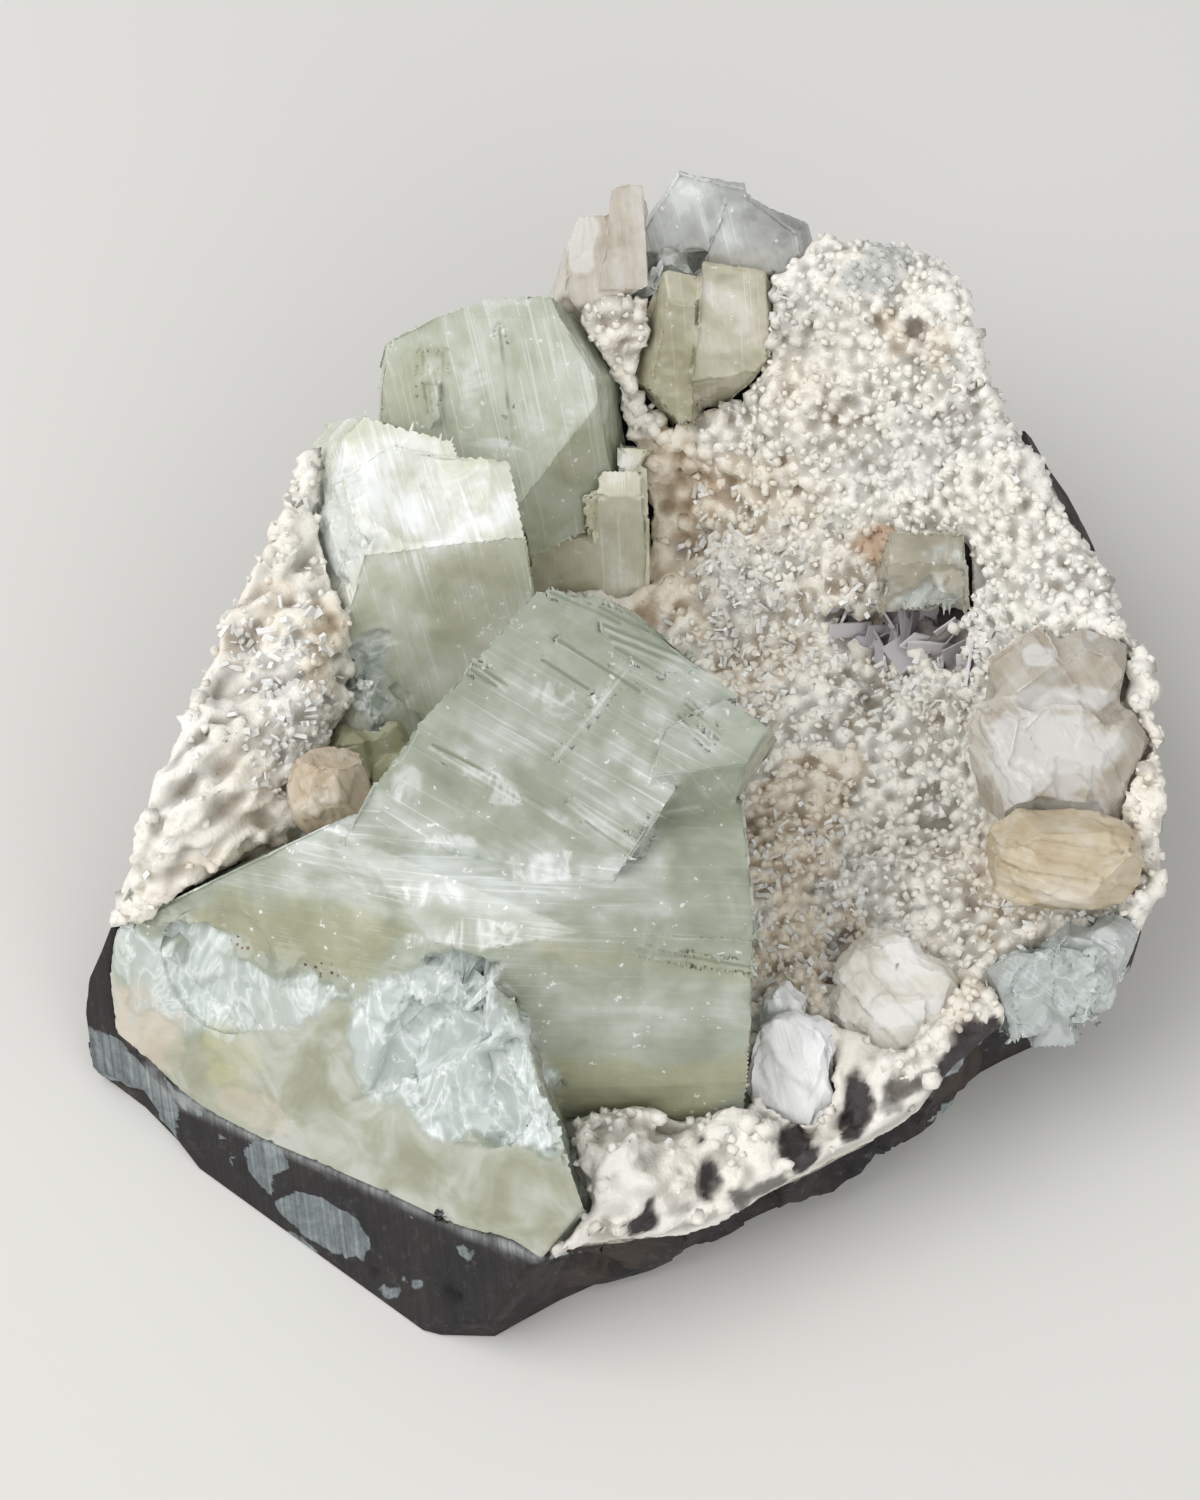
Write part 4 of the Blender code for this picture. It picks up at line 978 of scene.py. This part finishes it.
crystals = {
    "frontCrystal": {
        "node": "apophyllite_front", "slot": "apophyllite", "edges": (0.00062, 0.0030), "streak": 0.8,
        "grain": (grainTurn(1.5, direction(-88, 40)), grainTurn(30, direction(-67, 68.5))),
        "second": ((1.0, [(380, 770), (385, 700), (470, 640), (530, 575), (640, 575), (760, 680), (745, 800),
                          (670, 826), (650, 852), (520, 862), (385, 826)]),),
        "milky": (
            (0.75, [(275, 885), (300, 818), (380, 808), (450, 832), (520, 852), (640, 852), (650, 905),
                    (560, 925), (420, 935), (330, 905)]),
            (0.8, [(597, 800), (610, 772), (650, 756), (690, 760), (681, 800), (655, 815), (645, 846),
                   (620, 850)]),
            (0.4, [(535, 985), (745, 985), (735, 1040), (535, 1040)]),
            (0.55, [(440, 700), (520, 660), (560, 690), (520, 760), (450, 750)]),
            (0.55, [(640, 700), (700, 660), (728, 712), (700, 745), (645, 745)]),
        ),
        "flashes": ((412, 893, 34, 12, 4, 1.0), (478, 935, 44, 12, 2, 0.9), (453, 842, 34, 8, 4, 0.9),
                    (535, 868, 42, 13, 2, 0.9), (585, 856, 40, 5, 0, 0.9), (412, 941, 10, 6, 0, 0.8),
                    (500, 790, 36, 10, 28, 0.7), (560, 818, 30, 7, 28, 0.7), (560, 700, 20, 14, 20, 0.6),
                    (405, 790, 14, 22, 30, 0.7), (600, 700, 12, 30, 30, 0.4)),
        "olive": ((0.5, [(540, 946), (710, 959), (752, 972), (752, 984), (700, 976), (540, 962)]),
                  (0.6, [(175, 920), (215, 897), (330, 900), (415, 930), (350, 985), (255, 958)]),
                  (0.65, [(524, 1056), (646, 1066), (752, 1062), (746, 1090), (700, 1130), (560, 1120)]),
                  (0.15, [(660, 830), (740, 780), (752, 900), (700, 930), (650, 860)]),
                  (0.45, [(358, 1030), (400, 1028), (400, 1084), (366, 1084)])),
        "iced": ((1.0, [(348, 1010), (405, 965), (440, 957), (505, 960), (527, 1030), (548, 1085),
                        (575, 1140), (540, 1150), (480, 1140), (433, 1140), (385, 1110), (362, 1085),
                        (345, 1035)]),
                 (0.9, [(100, 930), (178, 926), (255, 962), (348, 990), (335, 1012), (300, 1034), (240, 1040),
                        (180, 1036), (120, 1008)]),
                 (0.5, [(560, 1130), (590, 1120), (600, 1215), (575, 1225)])),
        "filled": ((1.0, [(110, 905), (205, 915), (320, 985), (335, 1020), (245, 1068), (165, 1060),
                          (100, 1010)]),),
        "rust": ((238, 945, 18, 6, 25, 1.0), (318, 969, 20, 8, 20, 1.0)),
        "yellow": ((217, 1040, 16, 13, 0, 0.35), (223, 1071, 15, 11, 0, 0.35), (238, 1052, 40, 34, 0, 0.2)),
        "pinkish": ((145, 1030, 40, 34, 20, 0.5), (250, 1110, 40, 14, 20, 0.3)),
        "grooves": ((604, 624, 694, 659), (612, 636, 686, 665), (617, 647, 661, 672), (467, 665, 497, 685),
                    (434, 744, 497, 777), (543, 659, 589, 688), (587, 820, 631, 851), (686, 703, 722, 734),
                    (680, 716, 710, 744), (640, 953, 752, 970),
                    (470, 660, 508, 684), (552, 592, 620, 622), (600, 606, 700, 655), (560, 640, 640, 690)),
        "ridges": ((558, 756, 625, 673), (606, 629, 692, 664), (613, 641, 684, 670),
                   (569, 804, 632, 852), (574, 800, 640, 846), (430, 747, 522, 804), (480, 668, 506, 690),
                   (655, 815, 640, 850)),
        "calm": ((1.0, [(530, 962), (755, 985), (752, 1060), (700, 1130), (540, 1130), (515, 1010)]),
                 (0.6, [(640, 850), (745, 800), (755, 975), (640, 950)]),
                 (0.7, [(175, 920), (280, 895), (415, 930), (350, 985), (255, 958)])),
    },
    "leftCrystal": {
        "node": "apophyllite_left", "slot": "apophyllite", "edges": (0.00048, 0.0016), "streak": 0.9,
        "grain": (grainTurn(74, direction(-80, 40)),),
        # Painted light: lighter tints than the front crystal's, offsetting the shade on this crystal's steep
        # sides.
        "tints": {"body": "#e0e3cf", "deep": "#d0d4b8", "pale": "#eceee5", "milk": "#f6f8f7",
                  "iceDeep": "#dde4de"},
        "clear": 0.32,
        "milky": ((1.0, [(342, 458), (371, 441), (430, 436), (502, 492), (485, 532), (400, 548), (356, 520)]),
                  (0.8, [(274, 500), (340, 478), (384, 560), (340, 600), (285, 578)]),
                  (0.4, [(365, 545), (430, 545), (450, 640), (370, 690)])),
        "flashes": ((430, 470, 60, 22, 12, 0.6), (362, 500, 14, 40, -20, 0.6), (372, 690, 22, 26, 20, 0.9),
                    (480, 520, 30, 6, -10, 0.7)),
        "olive": ((0.35, [(430, 560), (500, 540), (528, 590), (480, 656), (430, 650)]),),
        "iced": ((0.9, [(338, 650), (375, 640), (402, 690), (372, 722), (336, 700)]),
                 (0.5, [(300, 480), (345, 478), (372, 540), (330, 590), (285, 560)])),
    },
    "upperLeftCrystal": {
        "node": "apophyllite_upper_left", "slot": "apophyllite", "edges": (0.00048, 0.0016), "streak": 1.1,
        "grain": (grainTurn(78, direction(-80, 40)),),
        "tints": {"body": "#c7cdb7", "deep": "#a9b296", "pale": "#d6dbcf"}, "clear": 0.36,
        "milky": ((0.5, [(440, 325), (560, 295), (590, 350), (560, 400), (450, 400)]),
                  (0.6, [(480, 440), (545, 400), (590, 410), (530, 465)]),
                  (0.35, [(365, 400), (420, 340), (430, 420), (380, 440)])),
        "flashes": ((510, 452, 34, 8, 16, 0.9), (432, 372, 10, 22, 0, 0.7), (565, 430, 8, 34, 12, 0.6),
                    (520, 300, 50, 5, 0, 0.5), (470, 400, 10, 40, 10, 0.5)),
        "olive": ((0.4, [(362, 410), (410, 340), (440, 350), (420, 430), (370, 440)]),
                  (0.35, [(540, 470), (595, 420), (600, 480), (560, 500)])),
        "grooves": ((423, 352, 421, 392), (443, 352, 442, 393), (500, 330, 512, 440)),
    },
    "pocketCrystal": {
        "node": "apophyllite_pocket", "rough": 2.2, "slot": "apophyllite", "edges": (0.00055, 0.0014),
        "streak": 0.7,
        "grain": (grainTurn(88, direction(-90, 20)),),
        # Painted light: lighter tints than the other crystals', offsetting the shade of the hollow it stands
        # in.
        "tints": {"body": "#eae8ce", "deep": "#dedab6", "pale": "#f2f0e0", "olive": "#dfdbb4",
                  "milk": "#fbfbf8"},
        "clear": 0.35,
        "milky": ((1.0, [(600, 452), (648, 446), (632, 482)]),
                  (0.6, [(596, 490), (640, 490), (640, 573), (596, 573)])),
        "flashes": ((625, 463, 18, 12, 0, 0.9),),
        "olive": ((0.3, [(496, 479), (596, 479), (596, 586), (500, 586)]),),
    },
    "backCrystal": {
        "node": "apophyllite_back", "rough": 2.2, "slot": "apophyllite", "edges": (0.00055, 0.0014),
        "streak": 0.8,
        "grain": (grainTurn(84, direction(-90, 20)),),
        "tints": {"body": "#cdc9b0", "deep": "#b4ae90", "pale": "#ded8c8"}, "clear": 0.36,
        "milky": ((0.5, [(690, 275), (760, 290), (770, 350), (720, 350)]),),
        "flashes": ((722, 300, 26, 14, 40, 0.6),),
        "olive": ((0.4, [(645, 300), (690, 300), (700, 430), (650, 420)]),),
    },
    "smallCrystals": {
        "node": "apophyllite_small", "rough": 2.2, "slot": "apophyllite", "edges": (0.00055, 0.0014),
        "streak": 0.8,
        "grain": (grainTurn(40, direction(-80, 40)),),
        "tints": {"body": "#bfbf9f", "deep": "#99976f"},
        "olive": ((0.5, [(300, 700), (410, 700), (410, 790), (330, 790)]),),
    },
    "crownCrystals": {
        "node": "apophyllite_crown", "rough": 2.2, "slot": "clear_apophyllite", "edges": (0.0005, 0.0014),
        "streak": 0.6,
        "grain": (grainTurn(70, direction(-90, 20)),), "clear": 0.36,
        "tints": {"deep": "#a4a6a1", "body": "#bbbdb8", "pale": "#d3d6d2", "olive": "#bdb6a0"},
        "milky": ((0.6, [(655, 164), (700, 180), (770, 240), (730, 250), (660, 200)]),),
        "flashes": ((690, 190, 24, 6, 30, 0.8), (668, 268, 28, 14, 0, 0.9)),
        "olive": ((0.35, [(655, 250), (770, 250), (770, 290), (655, 290)]),),
        "iced": ((0.6, [(642, 252), (700, 256), (700, 290), (642, 290)]),),
    },
    "clearCluster": {
        "node": "clear_cluster", "slot": "clear_apophyllite", "edges": (0.00045, 0.0014), "streak": 1.0,
        "grain": (grainTurn(38, direction(-60, 40)),), "clear": 0.45,
        "tints": {"deep": "#a9b0af", "body": "#ccd1cf", "pale": "#e2e6e5"},
        "milky": ((0.5, [(1000, 945), (1110, 945), (1110, 1010), (1000, 1040)]),),
        "iced": ((0.7, [(1000, 935), (1110, 935), (1110, 1010), (1000, 1040)]),),
    },
    "brownBlock": {
        "node": "apophyllite_right", "rough": 2.2, "slot": "brown_apophyllite", "edges": (0.0005, 0.0014),
        "streak": 0.3,
        "grain": (grainTurn(5, direction(-88, 40)),), "clear": 0.32,
        "tints": {"deep": "#a39c8a", "body": "#b9b29f", "pale": "#cbc5b6", "milk": "#dedbd2",
                  "olive": "#a69e88", "ice": "#e9e5dc", "iceDeep": "#b5ad9c"},
        "flashes": ((955, 556, 10, 8, 0, 0.8),),
        "iced": ((0.8, [(885, 590), (960, 585), (965, 615), (885, 612)]),
                 (0.6, [(940, 555), (970, 555), (970, 600)])),
    },
}


def makeCrystal(name, look):
    grooves, ridges = look.get("grooves", ()), look.get("ridges", ())
    mesh = refinedCopy(look["node"], *look["edges"], grooves + ridges)
    points, normals = readPoints(mesh), readNormals(mesh)
    facing, _ = readFaces(mesh)
    corners = np.array([face.vertices[:] for face in mesh.polygons])
    bend = np.zeros(len(points))
    for n in range(3):
        off = 1 - np.abs(np.sum(facing * normals[corners[:, n]], axis=1))
        np.maximum.at(bend, corners[:, n], off)
    points = np.where((bend > 0.01)[:, None], smoothed(mesh, points, 1), points)
    saw = onSaw(points)
    filled = patches(points, look.get("filled", ()), 14, 6)
    points = points + (filled * (sawDistance - points @ sawNormal) * 0.8)[:, None] * sawNormal
    iced = patches(points, look.get("iced", ()), 8, 16)
    broken = 0.25 + 0.75 * ease(softNoise(points, 0.003, 4), -0.5, 0.3)
    groove = 0.75 * alongLines(points, grooves, 2.8) * broken
    ridge = 0.3 * alongLines(points, ridges, 2.6) * (0.3 + broken)
    bent = points + 0.0009 * roughNoise(points, 0.004, 5)[:, None]
    chips = apophyllite["chipHigh"] * facetNoise(bent, 0.0062, 8) - apophyllite["chipsSunk"]
    chips += apophyllite["splinterHigh"] * facetNoise(bent, 0.0026, 28)
    wearAndEdgeGlow = ease(bend, 0.02, 0.12) * ease(roughNoise(points, 0.0022, 33), -0.2, 0.5)
    uneven = apophyllite["swell"] * roughNoise(points, 0.009, 15) - apophyllite["wornDeep"] * wearAndEdgeGlow
    uneven += apophyllite["pitted"] * roughNoise(points, 0.0016, 25)
    depth = look.get("rough", 1.0) * uneven - apophyllite["sunk"] + iced * chips
    depth += apophyllite["ridgeHigh"] * ridge - apophyllite["grooveDeep"] * groove
    writePoints(mesh, points + normals * ((1 - saw) * depth)[:, None])
    # Painted flashes: lens cracks whitened and sparkled as if catching the light.
    flashes = 0.7 * spots(points, look.get("flashes", ()), 0.6)
    # Whiter along the edges: partly rubbed wear and partly a painted highlight along them.
    writeMask(mesh, "milky", patches(points, look.get("milky", ()), 34, 44) + 0.25 * flashes + 0.3 * wearAndEdgeGlow)
    writeMask(mesh, "flash", flashes)
    writeMask(mesh, "olive", patches(points, look.get("olive", ()), 12, 10))
    writeMask(mesh, "iced", iced)
    # The groove mask carries painted shade in the grooves and painted highlight on the ridges.
    writeMask(mesh, "groove", 0.5 - 0.5 * groove + 0.5 * ridge)
    writeMask(mesh, "lively", 1 - 0.8 * patches(points, look.get("calm", ()), 20, 16))
    writeMask(mesh, "second", patches(points, look.get("second", ()), 6, 2))
    for mask in ("rust", "yellow", "pinkish"):
        writeMask(mesh, mask, spots(points, look.get(mask, ()), 0.5))
    writeMask(mesh, "sawn", saw * (1 - iced))
    return finishPiece(name, mesh, apophylliteMaterial(look), [look["node"]], 24)


# Stilbite and its neighbours: sheaves of thin blades, cream to peach, silky and a little see-through.
stilbites = {
    "topBlades": {
        "node": "stilbite_top", "slot": "stilbite", "tints": ("#d0c6b5", "#e4ddd1", "#f4f1eb"), "clear": 0.3,
        "grain": grainTurn(84, direction(-90, 30)), "rounds": 5, "ribs": 0.0016, "deep": 0.00016,
        "bright": ((583, 240, 14, 34, 10, 0.9), (640, 200, 12, 30, 0, 0.2)),
    },
    "leftDome": {
        "node": "stilbite_left", "slot": "stilbite", "tints": ("#d2bfa3", "#e2d4be", "#f1e9dc"), "clear": 0.3,
        "grain": grainTurn(64, direction(-80, 40)), "rounds": 3, "ribs": 0.0012, "deep": 0.00026,
        "bright": ((320, 800, 24, 12, -10, 0.3),),
        "cuts": ((-95, 52, 0.0009), (-40, 40, 0.0010), (-150, 45, 0.0009), (80, 60, 0.0008)),
    },
    "rightDome": {
        "node": "stilbite_right", "slot": "stilbite", "tints": ("#cdb998", "#dfd1b5", "#f0e7d6"),
        "clear": 0.3,
        "grain": grainTurn(10, direction(-80, 40)), "rounds": 3, "ribs": 0.0016, "deep": 0.0003,
        "bright": ((1050, 900, 50, 10, 6, 0.4),),
        "cuts": ((-92, 48, 0.0014), (-130, 25, 0.0022), (-60, 12, 0.0012), (160, 50, 0.0020),
                 (95, 62, 0.0010), (-170, 10, 0.0016)),
    },
    "beigeCluster": {
        "node": "stilbite_cluster", "slot": "stilbite", "tints": ("#c3b8a7", "#d8d1c4", "#f0eeea"),
        "clear": 0.32,
        "grain": grainTurn(60, direction(-80, 40)), "rounds": 5, "ribs": 0.0030, "deep": 0.0003,
        "bright": ((1036, 654, 14, 11, 0, 1.0), (1045, 760, 70, 50, 0, 0.75), (1060, 700, 60, 12, 0, 0.5),
                   (1080, 812, 34, 16, 0, 0.8), (1094, 632, 8, 8, 0, 0.8)),
        "cuts": ((-90, 55, 0.0016), (-140, 30, 0.0022), (-60, 35, 0.0014), (170, 55, 0.0022),
                 (60, 60, 0.0012)),
    },
    "paleBlades": {
        "node": "stilbite_blades", "slot": "stilbite", "tints": ("#d3cbbd", "#e6e2d8", "#f6f5f1"),
        "clear": 0.15,
        "grain": grainTurn(50, direction(-70, 50)), "rounds": 4, "ribs": 0.0018, "deep": 0.0004,
        "bright": ((905, 960, 40, 30, 0, 0.3), (900, 1015, 50, 10, -10, 0.8)),
    },
    "silverPlates": {
        "node": "cleavage_plates", "slot": "pearly_apophyllite", "tints": ("#e6e9e9", "#fafbfb", "#ffffff"),
        "clear": 0.1, "grain": grainTurn(75, direction(-70, 50)), "rounds": 4, "ribs": 0.0030, "deep": 0.0002,
        "folds": 0.0013,
        "bright": ((790, 1080, 40, 60, -20, 0.4),),
    },
}


def stilbiteMaterial(look):
    # Pearly sheaf: a soft body with painted shade between its thin blades and in its folds, under a silky
    # skin.
    material, tree, shader, place = newMaterial(look["slot"], {"Roughness": 0.18, "IOR": 1.5,
                                                               "Transmission Weight": look["clear"]})
    bright, hollow = masksOf(tree, ("bright", "hollow"))
    lines = addNode(tree, "ShaderNodeMapping", {"vector_type": "TEXTURE", "Rotation": look["grain"],
                                                "Scale": (0.012, 0.0005, 0.004)}, {"Vector": place})
    fine = addNode(tree, "ShaderNodeTexNoise", {"Scale": 1.0, "Detail": 4.0, "Roughness": 0.65},
                   {"Vector": lines})
    cloud = addNode(tree, "ShaderNodeTexNoise", {"Scale": 260.0, "Detail": 5.0, "Distortion": 0.5},
                    {"Vector": place})
    level = addNode(tree, "ShaderNodeMath", {"operation": "MULTIPLY_ADD", 1: 0.35}, {0: fine, 2: cloud})
    level = addNode(tree, "ShaderNodeMapRange", {"From Min": 0.4, "From Max": 0.95}, {"Value": level})
    level = addNode(tree, "ShaderNodeMath", {"operation": "ADD"}, {0: level, 1: bright})
    level = addNode(tree, "ShaderNodeMath", {"operation": "MULTIPLY_ADD", 1: -0.3, "use_clamp": True},
                    {0: hollow, 2: level})
    colour = addNode(tree, "ShaderNodeValToRGB", {"stops": tuple(zip((0.05, 0.5, 0.95), look["tints"]))},
                     {"Fac": level})
    tall = addNode(tree, "ShaderNodeMath", {"operation": "MULTIPLY_ADD", 1: 0.3}, {0: cloud, 2: fine})
    bump = addNode(tree, "ShaderNodeBump", {"Strength": 0.5, "Distance": 0.0003}, {"Height": tall})
    connect(tree, shader, {"Base Color": colour, "Normal": bump})
    return material


def makeStilbite(name, look):
    mesh = refinedCopy(look["node"], 0.0005, 0.0008)
    points = smoothed(mesh, readPoints(mesh), look["rounds"])
    for azimuth, tilt, trim in look.get("cuts", ()):
        facing = direction(azimuth, tilt)
        over = points @ facing - (points @ facing).max() + trim
        points = points - np.maximum(over, 0)[:, None] * facing
    writePoints(mesh, points)
    normals = readNormals(mesh)
    turned = points @ np.array(look["grain"].to_matrix())
    ribs = turned * (0.08, 1.0, 0.3)
    blades = facetNoise(ribs + 0.0003 * roughNoise(points, 0.002, 7)[:, None], look["ribs"], 12)
    lumps = 0.4 * roughNoise(points, 0.004, 15) + 0.6 * facetNoise(points, 0.0035, 19)
    depth = look["deep"] * (blades + lumps - 0.8)
    # Painted shade: darker where the blades, lumps and folds sink.
    hollow = ease(-blades - 0.4 * lumps, 0.1, 0.9)
    if "folds" in look:
        folds = 1 - np.abs(roughNoise(turned * (0.5, 1.0, 1.0), 0.0055, 45, 4))
        depth += look["folds"] * (folds - 1)
        hollow += ease(-folds, -0.5, -0.1)
    writePoints(mesh, points + normals * depth[:, None])
    writeMask(mesh, "bright", spots(points, look["bright"], 0.4))
    writeMask(mesh, "hollow", hollow)
    return finishPiece(name, mesh, stilbiteMaterial(look), [look["node"]], 26)


# Stage: a plain pale floor, soft light from above and the camera at the photograph's angle.
studio = {
    "floor": "#d9d8d4",
    "sky": 0.56,
    # Each lamp's name, power, size and place.
    "lamps": (("key", 4.6, 0.8, (-0.52, -0.08, 0.62)), ("fill", 1.8, 0.6, (0.25, -0.65, 0.45))),
}


def makeStage():
    mesh = bpy.data.meshes.new("floor")
    floor = bmesh.new()
    bmesh.ops.create_grid(floor, x_segments=1, y_segments=1, size=3.0)
    floor.to_mesh(mesh)
    floor.free()
    obj = bpy.data.objects.new("floor", mesh)
    bpy.context.scene.collection.objects.link(obj)
    material = newMaterial("floor", {"Base Color": toLinear(studio["floor"]), "Roughness": 0.9})[0]
    mesh.materials.append(material)
    obj.location.z = -0.0002
    world = bpy.data.worlds.new("studio")
    bpy.context.scene.world = world
    world.use_nodes = True
    world.node_tree.nodes["Background"].inputs["Color"].default_value = (1.0, 1.0, 1.0, 1.0)
    world.node_tree.nodes["Background"].inputs["Strength"].default_value = studio["sky"]
    for name, power, size, place in studio["lamps"]:
        light = bpy.data.lights.new(name, "AREA")
        light.energy = power
        light.size = size
        lamp = bpy.data.objects.new(name, light)
        lamp.location = place
        lamp.rotation_euler = (Vector((0, 0, 0.02)) - Vector(place)).to_track_quat("-Z", "Y").to_euler()
        bpy.context.scene.collection.objects.link(lamp)
    camera = bpy.data.cameras.new("camera")
    camera.lens = shot["lens"]
    camera.sensor_width = shot["sensor"]
    camera.clip_start = 0.01
    obj = bpy.data.objects.new("camera", camera)
    obj.location = eye
    obj.rotation_euler = Vector(viewAhead).to_track_quat("-Z", "Y").to_euler()
    bpy.context.scene.collection.objects.link(obj)
    bpy.context.scene.camera = obj
    bpy.context.scene.view_settings.view_transform = "Standard"


makeStage()
makeBasalt()
makeStrewn(*makeDruse())
for name, look in crystals.items():
    makeCrystal(name, look)
for name, look in stilbites.items():
    makeStilbite(name, look)
